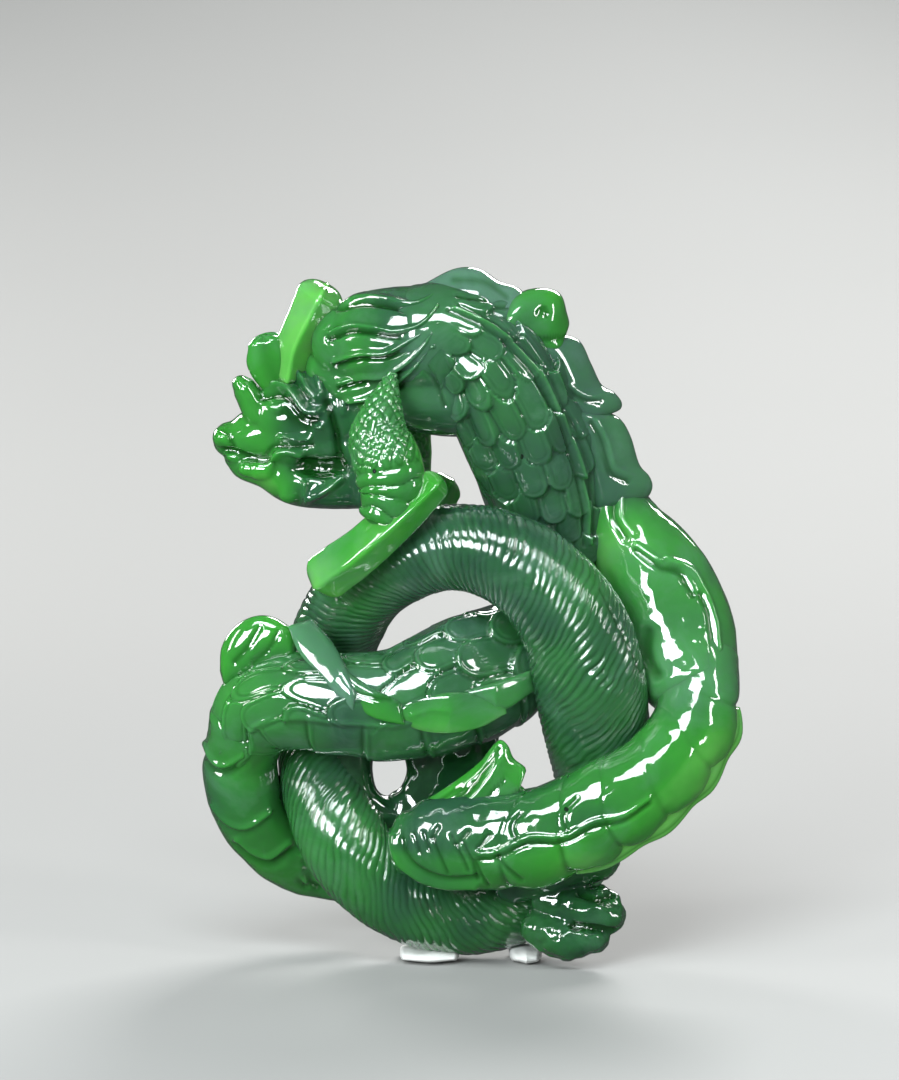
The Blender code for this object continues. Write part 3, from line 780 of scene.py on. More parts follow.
def neck_thin(p):
    """Thinner towards the head, painted with a lighter glow of light through the stone."""
    return 0.10 + 0.30 * smooth(-7.0, -11.0, p[:, 0])


wear(fused("neck", [NECK] + CHEST, 0.15, 8, NECK_STROKES, thin=neck_thin, milk_and_sheen=0.02), "deep_jade")

MIDDLE = [
    (7.2, 4.4, 27.4, 3.6, 3.2),
    (4.6, 1.8, 27.2, 4.9, 4.2),
    (1.6, -1.0, 26.2, 5.6, 4.5),
    (-1.8, -2.8, 25.0, 5.6, 4.7),
    (-6.2, -3.9, 23.7, 5.0, 4.7),
    (-10.6, -4.3, 23.7, 4.6, 4.5),
    (-15.0, -3.7, 24.0, 4.3, 4.3),
    (-18.2, -2.0, 23.0, 4.0, 4.0),
    (-19.8, -0.2, 20.4, 3.5, 3.6),
]


def middle_relief(skin):
    """Broad scales above a seam and smooth lapped plates below it."""
    belly = window(skin, 0.05, 0.15, 0.86, 0.96)
    scales = lapping_scales(skin, 9, 3.4, seed=9, lift=0.26, crown=-0.05, line=0.22, tip=0.52)
    scales = scales * (0.10 + 0.90 * smooth(math.pi * 1.52, math.pi * 1.40, skin.psi))
    # no painted scale-groove shade on the belly
    skin.cut = skin.cut * (1.0 - belly)
    plates = lapped(skin, 4.0, 0.22, belly)
    seam = 0.24 * bell((skin.psi - 0.93 * math.pi) * skin.radius, 0.30) * smooth(2.0, 4.0, skin.u)
    skin.milk_and_sheen += 0.08
    thin = 0.10 + 0.26 * smooth(-13.0, -19.0, skin.x)
    return stone(skin, thin, 0.08) + scales * (1.0 - belly) + plates + seam


wear(sweep("middle_coil", MIDDLE, middle_relief, step=0.13, around=200), "deep_jade")

LEFT = [
    (-19.4, -0.9, 21.6, 3.7, 3.8),
    (-20.4, 0.6, 18.4, 3.2, 3.4),
    (-20.2, 1.4, 15.2, 3.1, 3.2),
    (-19.0, 2.8, 11.9, 3.0, 3.0),
    (-16.6, 5.0, 9.0, 2.9, 2.8),
    (-13.4, 6.8, 7.0, 2.7, 2.4),
    (-9.6, 7.0, 5.6, 1.9, 1.9),
]
CRESCENTS = [
    ([(-22.0, 24.6), (-21.6, 22.4), (-20.4, 20.9), (-19.4, 20.6)], 0.45, -0.32),
    ([(-23.6, 19.0), (-22.6, 17.7), (-21.4, 17.5), (-20.0, 18.4)], 0.45, -0.32),
    ([(-22.6, 13.6), (-21.4, 12.2), (-19.8, 11.8), (-18.0, 13.0)], 0.30, -0.10),
    ([(-20.6, 10.4), (-19.4, 9.2), (-17.8, 8.7), (-16.2, 9.8)], 0.45, -0.34),
    ([(-15.2, 8.6), (-15.2, 6.8), (-14.8, 6.0)], 0.30, -0.28),
    ([(-14.2, 8.0), (-14.2, 6.6), (-13.6, 5.8)], 0.30, -0.28),
]


def left_relief(skin):
    """Two swellings, cut by crescents with raised lips."""
    swell = 0.22 * bell(skin.u - 6.5, 3.0) + 0.20 * bell(skin.u - 15.0, 3.5)
    skin.thin = 0.20 * smooth(6.0, 12.0, skin.u) * smooth(20.0, 15.0, skin.u)
    lips = alike(0.30, 0.36, *[moved(line, 0.0, 0.55) for line, width, height in CRESCENTS])
    return stone(skin, 0.34, 0.12) + swell + carve(skin, CRESCENTS + lips)


wear(sweep("left_coil", LEFT, left_relief, step=0.16, around=130), "bright_jade")

# ---- haunch and tail

HAUNCH = [
    (11.8, 3.6, 43.0, 2.2, 2.8),
    (13.8, 2.9, 38.8, 3.4, 3.6),
    (16.0, 2.0, 34.6, 4.9, 4.4),
    (18.2, 0.6, 30.0, 5.1, 4.5),
    (19.5, -1.6, 25.4, 4.3, 4.0),
]
HAUNCH_FOLDS = [
    ([(14.6, 37.0), (16.6, 35.6), (18.4, 35.0), (19.6, 33.2)], 0.26, -0.34),
    ([(14.6, 37.4), (16.7, 36.1), (18.6, 35.5), (20.0, 33.6)], 0.28, 0.30),
    ([(17.0, 36.0), (19.2, 34.8), (20.8, 31.8), (21.4, 28.6)], 0.24, -0.30),
    ([(17.2, 36.4), (19.6, 35.2), (21.2, 32.0), (21.9, 28.6)], 0.24, 0.24),
    ([(12.8, 42.0), (12.6, 39.8), (13.6, 38.0)], 0.30, -0.26),
    ([(13.4, 41.8), (13.4, 39.8), (14.4, 38.4)], 0.30, 0.22),
    ([(15.6, 30.0), (15.4, 28.0), (16.2, 26.4)], 0.50, -0.35),
]


def haunch_relief(skin):
    """Folds of the thigh, with one pebbled spot."""
    x, z = skin.x, skin.z
    spot = bell(np.hypot(x - 19.9, z - 30.2), 1.3)
    grit = np.maximum(noise(skin.p, 0.62, 21), 0.0) * spot
    # painted glow of light through the stone around the middle of the thigh, less near its top, and painted
    # milky sheen growing towards its bottom
    skin.thin = 0.25 * bell(z - 36.0, 4.0) - 0.30 * smooth(39.5, 43.0, z)
    skin.milk_and_sheen += 0.12 + 0.20 * smooth(33.0, 27.0, z)
    return stone(skin, 0.50, 0.16) + carve(skin, HAUNCH_FOLDS) + 0.28 * grit


wear(sweep("haunch", HAUNCH, haunch_relief, step=0.15, around=170), "bright_jade")

TAIL = [
    (19.8, -1.0, 27.0, 3.9, 3.8),
    (20.0, -2.6, 24.0, 3.7, 3.6),
    (19.2, -4.2, 21.2, 3.7, 3.5),
    (16.6, -6.0, 18.2, 3.8, 3.5),
    (12.4, -6.9, 15.4, 4.1, 3.7),
    (6.6, -7.2, 12.8, 4.2, 3.7),
    (0.8, -6.4, 12.0, 4.3, 3.5),
    (-3.4, -5.2, 11.6, 4.0, 3.0),
    (-5.5, -4.6, 11.5, 2.9, 2.2),
]
TAIL_LINE = [(15.4, 16.4), (13.2, 15.0), (10.6, 14.5), (8.0, 13.2), (5.0, 13.1), (2.4, 11.8), (0.8, 11.5)]
TAIL_STROKES = [
    (TAIL_LINE, 0.24, 0.26),
    (moved(TAIL_LINE, 0.0, -0.6), 0.22, -0.26),
    ([(4.4, 15.0), (3.6, 14.0), (3.9, 12.9)], 0.18, -0.20),
    ([(2.4, 11.2), (3.4, 10.0), (4.4, 9.2)], 0.20, -0.26),
    ([(9.2, 16.4), (8.1, 15.2), (8.3, 13.6)], 0.18, -0.18),
    ([(-6.9, 12.4), (-6.6, 10.9), (-5.7, 9.5), (-4.2, 8.6), (-2.2, 8.2), (0.4, 8.3)], 0.32, 0.34),
    ([(-5.9, 12.2), (-5.6, 11.0), (-4.8, 10.0), (-3.4, 9.3), (-1.6, 9.0), (0.6, 9.2)], 0.26, -0.26),
] + alike(
    0.16, -0.26,
    [(0.4, 10.8), (1.0, 9.4), (1.6, 8.4)],
    [(-0.6, 12.4), (0.2, 10.6), (0.6, 9.0)],
    [(-1.6, 12.9), (-0.8, 11.2), (-0.2, 9.8)],
    [(-3.2, 12.6), (-2.6, 11.0), (-2.0, 9.6)],
    [(-4.0, 13.0), (-3.6, 11.6)],
    [(-4.9, 12.8), (-4.4, 11.2)],
    [(-2.8, 13.6), (-3.4, 12.6)],
    [(-0.2, 13.4), (-1.2, 12.2)],
    [(1.6, 13.2), (0.6, 12.0)],
)
LOBE_PITCH = 4.4


def tail_relief(skin):
    """Broad lobes along the lower side, fading towards the haunch and the tip."""
    x, z = skin.x, skin.z
    lower = smooth(math.pi * 1.02, math.pi * 0.90, skin.psi) * smooth(0.15, 0.5, skin.psi)
    rim = window(skin, 0.1, 0.35, 0.55, 0.85)
    bowed = 0.22 * (skin.arc + 2.0) ** 2 / np.maximum(skin.radius, 1.0)
    s = (skin.u + bowed) / LOBE_PITCH + 0.10 * noise(skin.p, 4.0, 25)
    s = s - np.floor(s)
    lobe = np.sin(math.pi * s) ** 0.6
    line = bell(np.minimum(s, 1.0 - s) * LOBE_PITCH, 0.20)
    amount = (0.35 + 0.65 * lower) * (1.0 - 0.65 * smooth(9.0, 15.0, x))
    away = smooth(0.86, 0.70, skin.share) * smooth(1.0, 5.5, skin.u)
    # painted shade in the lines between the lobes; then painted glow, brighter to the right and on the lower
    # side, and painted milky sheen towards the top where the tail rises into the haunch
    skin.paint_shade(0.6 * line * amount * away)
    skin.thin = 0.28 * smooth(0.0, 12.0, x) + 0.25 * lower * smooth(1.0, 6.0, skin.u)
    skin.milk_and_sheen += 0.42 * smooth(20.5, 26.0, z) - 0.10
    lobes = 0.16 * (lobe - 0.5) * amount + 0.55 * (lobe - 0.6) * rim - 0.14 * line * amount
    return stone(skin, 0.16, 0.12) + lobes * away + carve(skin, TAIL_STROKES)


wear(sweep("tail_coil", TAIL, tail_relief, step=0.15, around=170), "bright_jade")

# ---- fins and inner bridge

SAW = (0.1, 0.5, 0.9, 0.3, 0.7, 1.0, 0.4, 0.8, 1.0, 0.4, 0.7, 0.8, 0.1)
wear(fin("tail_edge_fin", TAIL, 0.14, 0.60, 180.0, SAW, half=1.9, thin=0.8, sink=1.6), "bright_jade")
# each plate's milk share paints milky cloud with sheen on its face, set part by part
wear(plate(
    "spine_fin_1",
    [(-1.0, 25.3), (1.8, 25.9), (5.4, 26.8)],
    [(-1.0, 24.4), (-0.6, 23.7), (0.9, 23.2), (3.1, 23.5), (5.6, 24.9)],
    (-6.8, -6.4, -4.2), 0.9, (0.30, 0.7), flare=-0.1, milk_and_sheen=0.2), "bright_jade")
wear(plate(
    "spine_fin_2",
    [(-6.2, 24.3), (-4.2, 25.1), (-0.9, 25.3), (2.8, 25.0)],
    [(-6.3, 23.8), (-5.5, 22.5), (-4.0, 21.9), (-1.8, 21.7), (0.9, 22.1), (3.2, 23.2)],
    (-8.0, -7.6, -6.0), 0.9, (0.30, 0.85),
    [([(-5.0, 23.4), (-3.4, 23.9), (-1.6, 23.7)], 0.25, 0.16)], flare=-0.2, milk_and_sheen=0.08), "bright_jade")
wear(plate(
    "spine_fin_3",
    [(-13.9, 31.2), (-12.0, 29.4), (-10.7, 27.4), (-9.7, 25.3)],
    [(-15.9, 30.6), (-15.0, 28.6), (-13.2, 26.7), (-11.6, 25.1), (-10.1, 23.8)],
    (-3.6, -5.6, -7.4, -8.4), 1.0, (0.0, 0.3), flare=-0.5, milk_and_sheen=0.4), "bright_jade")
wear(plate(
    "spine_leaf",
    [(-10.8, 27.2), (-9.2, 26.2), (-7.4, 25.2), (-5.9, 24.6)],
    [(-10.4, 24.8), (-9.2, 23.6), (-7.4, 22.9), (-5.7, 22.6)],
    (-7.6, -8.2, -8.2), 0.9, (0.15, 0.6),
    [([(-10.4, 25.6), (-9.0, 25.1), (-7.0, 24.8)], 0.2, -0.2)], flare=-0.6), "bright_jade", "spine_fin_3")
wear(plate(
    "side_fin_left",
    [(-21.6, 25.0), (-18.6, 26.4), (-15.2, 27.4)],
    [(-22.0, 26.4), (-21.8, 28.6), (-20.6, 30.4), (-18.9, 31.3), (-17.2, 31.2), (-15.2, 30.0)],
    (-2.2, -2.8, -3.0), 1.5, (0.25, 0.6),
    alike(0.25, -0.22,
          [(-20.6, 27.4), (-19.4, 28.8), (-18.4, 30.4)],
          [(-19.0, 27.4), (-17.6, 28.6), (-16.8, 30.0)]), taper=0.15), "bright_jade")
wear(plate(
    "dorsal_fin_1",
    [(-3.4, 57.6), (0.4, 57.0), (2.8, 56.0), (5.0, 54.2)],
    [(-4.2, 60.2), (-1.4, 61.6), (0.8, 61.6), (2.6, 60.5), (4.4, 59.8), (6.0, 57.6)],
    (0.4, 0.6), 3.4, (0.0, 0.1),
    [([(-1.4, 60.7), (1.2, 60.5), (3.2, 59.2)], 0.3, -0.2)], taper=0.5, milk_and_sheen=0.5), "deep_jade")
wear(plate(
    "dorsal_fin_2",
    [(2.2, 56.4), (3.8, 55.4), (5.4, 54.2), (6.4, 52.6), (7.2, 51.0)],
    [(3.6, 59.0), (5.0, 59.8), (6.8, 59.9), (8.0, 59.3), (8.5, 57.8), (8.7, 56.6), (7.9, 55.8)],
    (-0.6, 0.2, 1.0), 3.0, (0.25, 0.7),
    [([(6.0, 57.9), (6.4, 58.2), (6.6, 57.8)], 0.3, -0.30),
     ([(4.2, 55.6), (6.2, 55.5), (8.4, 55.7)], 0.25, -0.35)]), "bright_jade")
FIN_3_LINE = [(8.6, 51.0), (10.0, 50.2), (11.4, 50.0)]
wear(plate(
    "dorsal_fin_3",
    [(4.0, 55.0), (6.4, 52.8), (8.0, 50.2), (9.2, 47.2)],
    [(7.6, 56.0), (9.6, 55.3), (10.7, 53.2), (11.6, 51.4), (12.7, 50.7), (13.4, 49.8), (13.2, 49.1),
     (12.0, 48.7)],
    (0.4, 1.0, 1.8), 3.7, (0.0, 0.16),
    [(FIN_3_LINE, 0.22, -0.26),
     (moved(FIN_3_LINE, 0.0, 0.5), 0.22, 0.20)],
    taper=0.62, milk_and_sheen=0.30), "bright_jade")
wear(plate(
    "dorsal_fin_4",
    [(7.6, 50.0), (9.2, 46.8), (10.2, 43.2), (11.0, 39.8)],
    [(11.4, 49.3), (13.2, 48.4), (14.2, 46.8), (15.0, 44.3), (15.9, 43.2), (16.2, 42.2), (15.7, 41.2),
     (14.4, 40.6)],
    (0.9, 1.8, 2.8), 3.7, (0.0, 0.16),
    [([(10.6, 48.2), (11.6, 46.4), (12.3, 43.8), (13.8, 42.9)], 0.22, -0.30),
     ([(11.2, 48.4), (12.1, 46.6), (12.8, 44.3), (14.2, 43.5)], 0.24, 0.30)],
    taper=0.62, milk_and_sheen=0.30), "bright_jade")
TUFT_LINE = [(-3.2, 14.2), (-0.4, 16.4), (1.4, 18.6), (2.5, 20.2)]
wear(plate(
    "tail_tuft",
    [(-6.0, 12.4), (-3.2, 12.4), (0.6, 12.9), (5.0, 14.4)],
    [(-6.5, 13.6), (-4.9, 14.8), (-3.0, 16.0), (-1.0, 17.4), (0.8, 18.9), (1.8, 20.2), (2.6, 20.9),
     (3.3, 20.4), (3.8, 19.3), (4.8, 18.5), (4.7, 17.9), (3.8, 17.6), (4.6, 16.8), (5.6, 15.8)],
    (-5.2, -6.4, -7.2), 1.9, (0.10, 0.75),
    [(TUFT_LINE, 0.18, -0.30),
     (moved(TUFT_LINE, 0.5, -0.4), 0.20, 0.26),
     ([(-5.2, 13.8), (-3.2, 15.2), (-0.6, 17.0)], 0.16, -0.22),
     ([(-5.0, 13.2), (-2.6, 15.0), (0.2, 17.3)], 0.14, -0.20),
     ([(-4.4, 12.8), (-1.6, 14.9), (0.8, 17.2)], 0.14, -0.20),
     ([(0.8, 15.0), (2.0, 16.6), (3.0, 17.6)], 0.16, -0.24),
     ([(2.2, 14.8), (3.2, 16.0), (4.2, 16.6)], 0.16, -0.22)], flare=0.3, taper=0.5), "bright_jade")

BRIDGE = [
    (-1.9, 1.6, 22.8, 5.4, 2.6),
    (-1.8, 1.2, 20.6, 4.8, 2.2),
    (-1.6, 0.9, 18.4, 4.2, 2.0),
    (-1.6, 0.9, 16.0, 4.2, 2.0),
    (-2.2, 1.0, 13.4, 4.6, 2.0),
    (-3.4, 1.0, 11.4, 5.2, 2.0),
]
WEB = [
    (-10.6, 1.0, 22.0, 2.2, 1.9),
    (-10.5, 0.8, 19.4, 2.1, 1.8),
    (-10.4, 0.6, 17.0, 1.9, 1.6),
    (-9.6, 0.4, 14.6, 1.7, 1.6),
    (-8.0, 0.6, 12.6, 2.2, 1.6),
]
LINTEL = [
    (-11.0, 1.2, 20.9, 1.9, 1.8),
    (-7.4, 1.2, 20.5, 1.9, 1.8),
    (-3.4, 1.4, 20.8, 1.9, 1.8),
]


def bridge_grit(p):
    """Rough tool marks down the stone, which is painted dark with shade."""
    return 0.10 * np.sin(p[:, 0] * 1.7 + 2.0 * noise(p, 2.4, 61)) + 0.05 * noise(p, 0.9, 62)


# painted shade: the bridge, web and lintel sit in shadow behind the coils and are painted dark all over
wear(fused("inner_bridge", [BRIDGE, WEB, LINTEL], 0.22, 8, grit=bridge_grit, thin=0.0, shade=0.62),
     "deep_jade")

# ---- limbs

FORELEG_LEFT = [
    (-6.9, -3.4, 52.2, 0.6, 1.0),
    (-7.5, -5.2, 49.8, 1.7, 1.7),
    (-7.8, -6.4, 47.4, 2.7, 2.3),
    (-7.1, -7.1, 45.0, 3.0, 2.5),
    (-6.7, -7.3, 42.6, 2.9, 2.3),
    (-7.2, -7.2, 40.8, 2.4, 2.1),
]


def foreleg_relief(skin):
    """Pebbled skin, then bands round the wrist, with the inner side left smooth."""
    x, y = skin.arc, skin.u
    wander = 0.5 * noise(skin.p, 1.4, 32)
    a = np.abs(np.sin(math.pi * ((x + y) / 1.1 + wander)))
    b = np.abs(np.sin(math.pi * ((x - y) / 1.1 - wander)))
    pebble = np.sqrt(np.minimum(a, b)) * smooth(9.4, 8.0, y)
    bands = np.abs(np.sin(math.pi * (y / 1.25 + 0.35 * noise(skin.p, 2.0, 33)))) ** 0.6 * smooth(8.0, 9.4, y)
    inner = smooth(2.1, 1.7, skin.psi)
    carved = np.maximum(pebble, bands) * (1.0 - inner)
    # painted shade between the pebbles and in the bands
    skin.paint_shade(0.8 * smooth(0.45, 0.05, carved) * (1.0 - inner))
    return stone(skin, 0.40 + 0.5 * inner, 0.05) + 0.30 * (carved - 0.7 * (1.0 - inner))


wear(sweep("foreleg_left", FORELEG_LEFT, foreleg_relief, step=0.13, around=120), "bright_jade")

FORE_CLAW_LEFT = [
    (-3.2, -7.6, 43.2, 1.5, 1.5),
    (-6.2, -7.6, 40.4, 1.9, 1.8),
    (-9.6, -6.9, 37.4, 2.1, 1.9),
    (-12.4, -5.6, 35.2, 2.2, 1.7),
]


def claw_relief(skin):
    """Long flat faces meeting in soft edges."""
    faces = ((312.0, 0.78), (222.0, 0.80), (90.0, 0.92), (12.0, 0.98), (168.0, 0.98))
    return stone(skin, 0.70, 0.08) + facets(skin, faces, 10.0)


wear(sweep("fore_claw_left", FORE_CLAW_LEFT, claw_relief, step=0.12, around=120, end=1.0), "bright_jade")

FORELEG_RIGHT = [
    (-5.6, 3.4, 52.0, 1.9, 2.2),
    (-6.0, 6.2, 48.4, 2.5, 2.2),
    (-6.0, 7.0, 44.6, 2.6, 2.2),
    (-5.4, 6.4, 40.8, 1.9, 1.8),
]
wear(sweep("foreleg_right", FORELEG_RIGHT, foreleg_relief, step=0.15, around=110), "deep_jade")

FORE_CLAW_RIGHT = [
    (-2.2, 6.4, 41.8, 1.7, 1.5),
    (-4.8, 5.0, 38.8, 2.3, 2.0),
    (-7.8, 4.6, 36.2, 1.9, 1.7),
]
wear(sweep("fore_claw_right", FORE_CLAW_RIGHT, claw_relief, step=0.14, around=100), "bright_jade")

FOOT_LUMPS = [
    [(3.8, -1.4, 8.0, 2.4, 2.8), (8.0, -1.8, 8.6, 2.0, 2.6), (11.6, -1.8, 9.0, 1.3, 2.0),
     (12.6, -1.8, 9.4, 0.8, 1.4)],
    [(7.6, -1.2, 5.8, 2.4, 2.6), (10.4, -2.8, 5.0, 2.2, 2.4), (12.3, -3.2, 4.8, 1.6, 2.0)],
    [(6.4, -1.8, 3.4, 2.0, 2.4), (8.8, -3.0, 2.8, 2.1, 2.4), (10.8, -3.2, 2.9, 1.6, 2.0)],
    [(11.4, -3.0, 6.4, 1.0, 1.4), (12.6, -3.0, 6.0, 0.8, 1.2)],
]


def foot_grit(p):
    """Rough, hardly polished stone."""
    return 0.10 * noise(p, 0.55, 41) + 0.18 * noise(p, 1.2, 42)


# painted shade: the foot beside the table is painted darker all over, with little glow and less milky sheen
wear(fused("hind_foot", FOOT_LUMPS, 0.15, 6, [
    ([(9.0, 4.2), (11.0, 3.9), (12.6, 3.6)], 0.3, -0.5),
    ([(9.6, 6.8), (11.2, 6.4), (12.8, 6.9)], 0.3, -0.3),
], foot_grit, thin=0.06, shade=0.12, milk_and_sheen=-0.1), "bright_jade", "hind_foot_upper", "hind_foot_lower")

# ---- head

HEAD_LUMPS = [
    [(-8.6, 3.4, 49.2, 3.2, 3.8), (-12.0, 3.7, 49.0, 4.3, 4.5), (-14.6, 3.9, 48.9, 4.2, 4.2),
     (-17.0, 4.0, 48.4, 3.2, 3.4)],
    [(-15.6, 4.0, 47.0, 3.0, 3.3), (-18.4, 4.0, 46.6, 2.8, 2.9), (-20.4, 4.0, 46.3, 2.2, 2.4),
     (-21.4, 4.0, 46.3, 1.6, 2.0)],
    [(-8.6, 4.0, 42.5, 2.4, 2.8), (-12.4, 4.0, 42.5, 2.4, 3.2), (-15.4, 4.0, 42.7, 2.3, 3.0),
     (-18.0, 4.0, 43.6, 1.7, 2.6), (-20.0, 4.0, 44.1, 1.4, 2.1), (-21.0, 4.0, 44.7, 0.9, 1.6)],
    [(-9.0, 3.2, 48.8, 2.8, 3.2), (-9.0, 3.0, 44.8, 2.8, 3.0), (-9.6, 3.4, 42.0, 2.0, 2.4)],
    [(-18.8, 2.8, 48.6, 1.2, 1.7), (-19.9, 2.5, 50.9, 1.1, 1.5), (-20.3, 2.5, 51.4, 0.8, 1.2)],
    [(-16.2, 2.2, 45.6, 1.6, 1.8), (-14.4, 2.2, 45.6, 1.6, 1.8), (-12.6, 2.6, 46.2, 1.6, 2.2)],
    [(-16.4, 2.3, 44.6, 1.1, 1.2), (-15.9, 2.3, 41.8, 1.2, 1.3)],
    [(-13.4, 2.8, 46.4, 2.4, 2.8), (-9.6, 3.0, 45.4, 2.4, 2.8)],
    [(-21.9, 3.2, 46.6, 1.05, 1.7), (-21.4, 3.2, 46.4, 1.1, 1.7)],
    [(-21.1, 2.8, 44.9, 0.6, 0.9), (-20.6, 2.7, 44.8, 0.6, 0.9)],
    [(-19.9, 2.2, 43.9, 0.7, 0.8), (-19.3, 2.1, 43.8, 0.7, 0.8)],
    [(-18.7, 1.9, 43.8, 0.95, 0.9), (-17.9, 1.8, 43.8, 0.95, 0.9)],
]
# strokes of the face; its grooves and the deep recess under the cheek are painted dark with shade, and the
# whole head a little darker
HEAD_STROKES = [
    ([(-17.8, 50.9), (-16.7, 51.2), (-15.7, 50.8), (-15.0, 49.9), (-14.3, 49.2), (-13.4, 49.1)], 0.36, 0.80),
    ([(-18.2, 50.2), (-16.9, 50.5), (-15.9, 50.0), (-15.2, 49.1), (-14.4, 48.4), (-13.5, 48.3)], 0.30, -0.36),
    ([(-16.4, 49.0), (-15.4, 48.4), (-14.4, 48.0)], 0.80, -0.30),
    ([(-17.4, 49.4), (-16.9, 49.3)], 0.34, 0.30),
    ([(-16.3, 52.3), (-15.4, 52.4), (-14.7, 51.8), (-14.2, 51.0), (-13.6, 50.3)], 0.32, 0.70),
    ([(-16.4, 51.8), (-15.5, 51.7), (-14.9, 51.0), (-14.2, 50.2)], 0.24, -0.30),
    ([(-13.7, 52.4), (-13.3, 51.5), (-13.0, 50.7)], 0.30, 0.60),
    ([(-12.6, 50.0), (-12.1, 48.6), (-11.7, 47.0), (-11.5, 45.2)], 0.34, -0.50),
    ([(-16.7, 46.7), (-15.4, 46.8), (-14.1, 46.8)], 0.28, 0.55),
    ([(-16.8, 46.0), (-15.2, 46.0), (-13.9, 46.1)], 0.24, -0.26),
    ([(-13.4, 47.8), (-13.1, 47.8)], 0.26, 0.45),
    ([(-17.4, 44.6), (-16.9, 45.3), (-16.2, 45.5), (-15.0, 45.2)], 0.30, 0.55),
    ([(-17.9, 45.2), (-17.3, 45.9), (-16.2, 46.1)], 0.20, -0.20),
    ([(-14.4, 44.2), (-13.0, 43.9), (-11.6, 44.3)], 0.75, -0.65),
    ([(-14.1, 41.5), (-12.8, 42.1), (-11.3, 43.1)], 0.36, 0.65),
    ([(-14.6, 42.6), (-14.5, 41.0)], 0.26, 0.40),
    ([(-21.8, 45.5), (-20.6, 45.4), (-19.4, 44.9), (-17.8, 44.7)], 0.22, -0.36),
    ([(-22.0, 47.4), (-21.2, 46.9), (-20.9, 45.9)], 0.22, -0.20),
]


def head_grit(p):
    """Pebbled strip across the mane."""
    strip = smooth(-14.2, -13.4, p[:, 0]) * smooth(-10.0, -10.8, p[:, 0]) * smooth(47.5, 49.0, p[:, 2])
    pebble = np.maximum(noise(p, 0.62, 81), -0.2)
    return 0.30 * pebble * strip


def head_thin(p):
    """Thinner at the snout and along the jaw, painted with a lighter glow of light through the stone."""
    low_jaw = smooth(44.6, 42.2, p[:, 2]) * smooth(-13.5, -16.0, p[:, 0])
    return 0.54 * smooth(-15.0, -18.5, p[:, 0]) + 0.36 * low_jaw


wear(fused("head", HEAD_LUMPS, 0.15, 10, HEAD_STROKES, head_grit, head_thin, shade=0.06, milk_and_sheen=-0.2),
     "deep_jade", "head_skull", "snout", "lower_jaw", "throat_tuft",
     "nasal_crest", "brow_left", "brow_right", "cheek_mane_left", "cheek_mane_right")

HEAD_MID = 4.0
HORN = [
    (-16.0, 2.2, 52.4, 1.9, 1.3),
    (-15.5, 1.5, 54.6, 1.8, 1.3),
    (-14.3, 0.9, 57.1, 1.9, 1.4),
    (-13.3, 0.6, 59.0, 2.2, 1.5),
]
EAR = [
    (-16.8, 2.6, 51.0, 1.4, 1.2),
    (-17.7, 1.9, 53.4, 2.0, 1.3),
    (-18.1, 1.6, 55.0, 1.5, 1.0),
]


def twin(rows):
    """The same rows on the far side of the head."""
    return [(x, 2.0 * HEAD_MID - y, z, w, d) for x, y, z, w, d in rows]


def horn_relief(skin):
    """Blunt horn with flat faces."""
    faces = ((330.0, 0.78), (215.0, 0.80), (90.0, 0.9), (0.0, 1.0), (180.0, 0.98))
    return stone(skin, 1.0, 0.05) + facets(skin, faces, 9.0)


def ear_relief(skin):
    """Round ear, hollowed in front, with painted shade in the hollow."""
    hollow = bell(skin.arc / np.maximum(skin.radius, 0.3), 0.45)
    skin.paint_shade(0.3 * hollow)
    return stone(skin, 0.70, 0.08) - 0.28 * hollow


for side, horn_rows, ear_rows in (("_left", HORN, EAR), ("_right", twin(HORN), twin(EAR))):
    wear(sweep("horn" + side, horn_rows, horn_relief, step=0.12, around=100, end=0.8), "bright_jade")
    wear(sweep("ear" + side, ear_rows, ear_relief, step=0.14, around=90), "bright_jade")

# ---- putty


def putty_relief(skin):
    """Uneven, pinched skin."""
    return 0.12 * noise(skin.p, 1.4, 51)


for name, low, high in (("putty_pad_left", -6.4, -0.8), ("putty_pad_right", 3.4, 6.6)):
    PAD = [
        (low + 0.5, 0.4, 0.62, 0.5, 2.4),
        ((low + high) / 2, 0.5, 0.62, 0.62, 3.2),
        (high - 0.5, 0.4, 0.62, 0.5, 2.6),
    ]
    wear(sweep(name, PAD, putty_relief, mat=PUTTY), "putty")

# ---- floor, light and camera


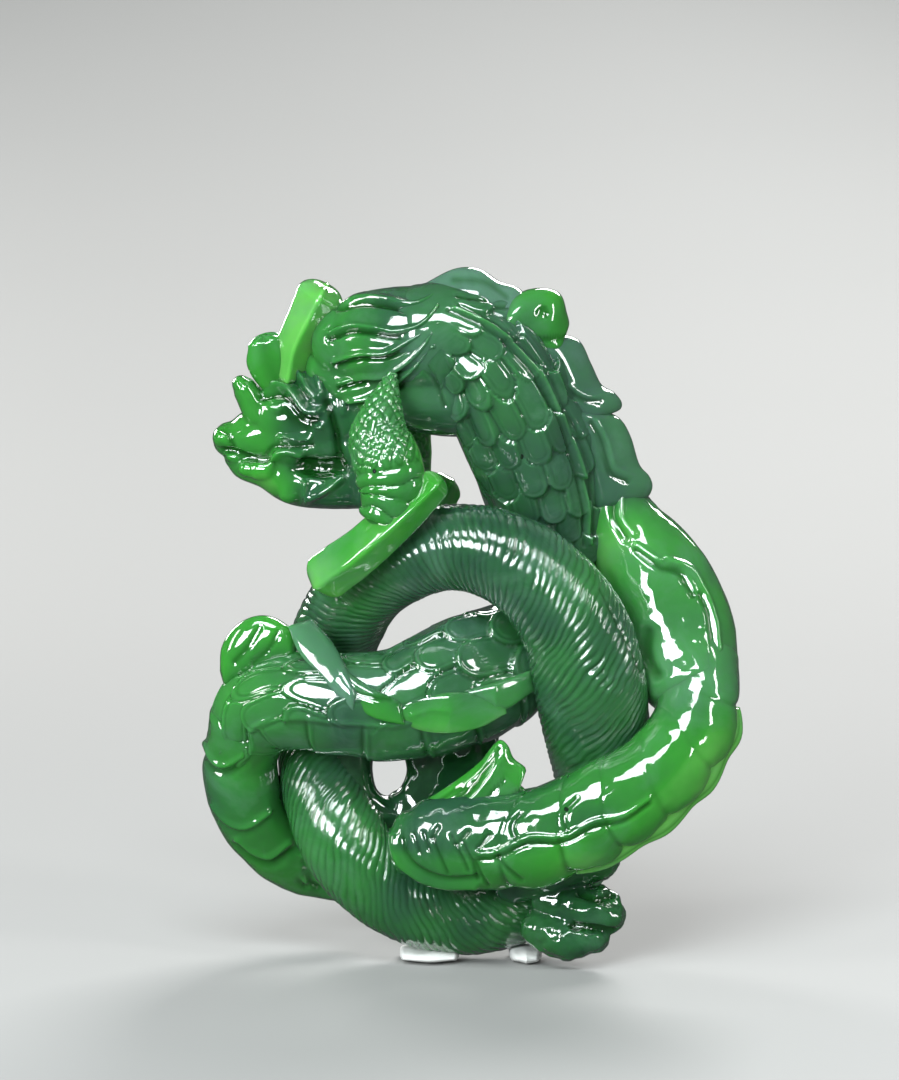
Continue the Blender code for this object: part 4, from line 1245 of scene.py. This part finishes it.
def floor():
    """Pale plain floor sweeping up into a backdrop."""
    half, front, back, radius, top, bends = 1.0, -1.2, 0.55, 0.35, 1.2, 12
    outline = [(front, 0.0), (back - radius, 0.0)]
    for k in range(1, bends + 1):
        angle = math.radians(90.0 * k / bends)
        outline.append((back - radius + radius * math.sin(angle), radius - radius * math.cos(angle)))
    outline.append((back, top))
    points = [(x, y, z) for y, z in outline for x in (-half, half)]
    quads = [(2 * k, 2 * k + 1, 2 * k + 3, 2 * k + 2) for k in range(len(outline) - 1)]
    mesh = bpy.data.meshes.new("floor")
    mesh.from_pydata(points, [], quads)
    mesh.polygons.foreach_set("use_smooth", [True] * len(quads))
    pale = new_material("floor_pale", {"Base Color": (0.36, 0.36, 0.35, 1.0), "Roughness": 0.65})[0]
    mesh.materials.append(pale)
    body = bpy.data.objects.new("floor", mesh)
    bpy.context.scene.collection.objects.link(body)
    body.visible_glossy = False


def aimed(name, data, target, azimuth, elevation, distance):
    """Light or camera looking at the target; azimuth 0 is in front of it, 90 on its right."""
    body = bpy.data.objects.new(name, data)
    turn, rise = math.radians(azimuth), math.radians(elevation)
    away = Vector((math.sin(turn) * math.cos(rise), -math.cos(turn) * math.cos(rise), math.sin(rise)))
    body.location = Vector(target) + away * distance
    body.rotation_euler = (-away).to_track_quat("-Z", "Y").to_euler()
    bpy.context.scene.collection.objects.link(body)
    return body


def softbox(name, azimuth, elevation, distance, size, power, colour=(1.0, 1.0, 1.0)):
    """Rectangular light aimed at the carving."""
    data = bpy.data.lights.new(name, "AREA")
    data.shape = "RECTANGLE"
    data.size, data.size_y = size
    data.energy = power
    data.color = colour
    aimed(name, data, (0.0, 0.0, 0.031), azimuth, elevation, distance)


def camera():
    """Long lens a little above table height, square to the carved front."""
    data = bpy.data.cameras.new("camera")
    data.lens = 135.0
    data.sensor_width = 36.0
    data.clip_start = 0.01
    data.clip_end = 10.0
    bpy.context.scene.camera = aimed("camera", data, (-0.0020, 0.0, 0.0378), 0.0, 6.0, 0.3565)


floor()
camera()
COOL = (0.90, 0.97, 1.0)
softbox("key_top", -8.0, 48.0, 0.40, (0.24, 0.12), 1.25, COOL)
softbox("front_glow", -26.0, 17.0, 0.40, (0.17, 0.12), 1.45, COOL)
softbox("strip_left", -64.0, 20.0, 0.40, (0.07, 0.18), 0.5)
softbox("strip_right", 58.0, 24.0, 0.40, (0.05, 0.20), 0.40)
softbox("rim_back", 158.0, 36.0, 0.45, (0.24, 0.16), 1.8)
softbox("rim_left", -142.0, 20.0, 0.45, (0.12, 0.16), 1.0)

bpy.context.scene.view_settings.view_transform = "Standard"
world = bpy.data.worlds.new("studio")
bpy.context.scene.world = world
world.use_nodes = True
sky = world.node_tree.nodes["Background"].inputs
sky["Color"].default_value = (0.80, 0.83, 0.86, 1.0)
sky["Strength"].default_value = 0.09
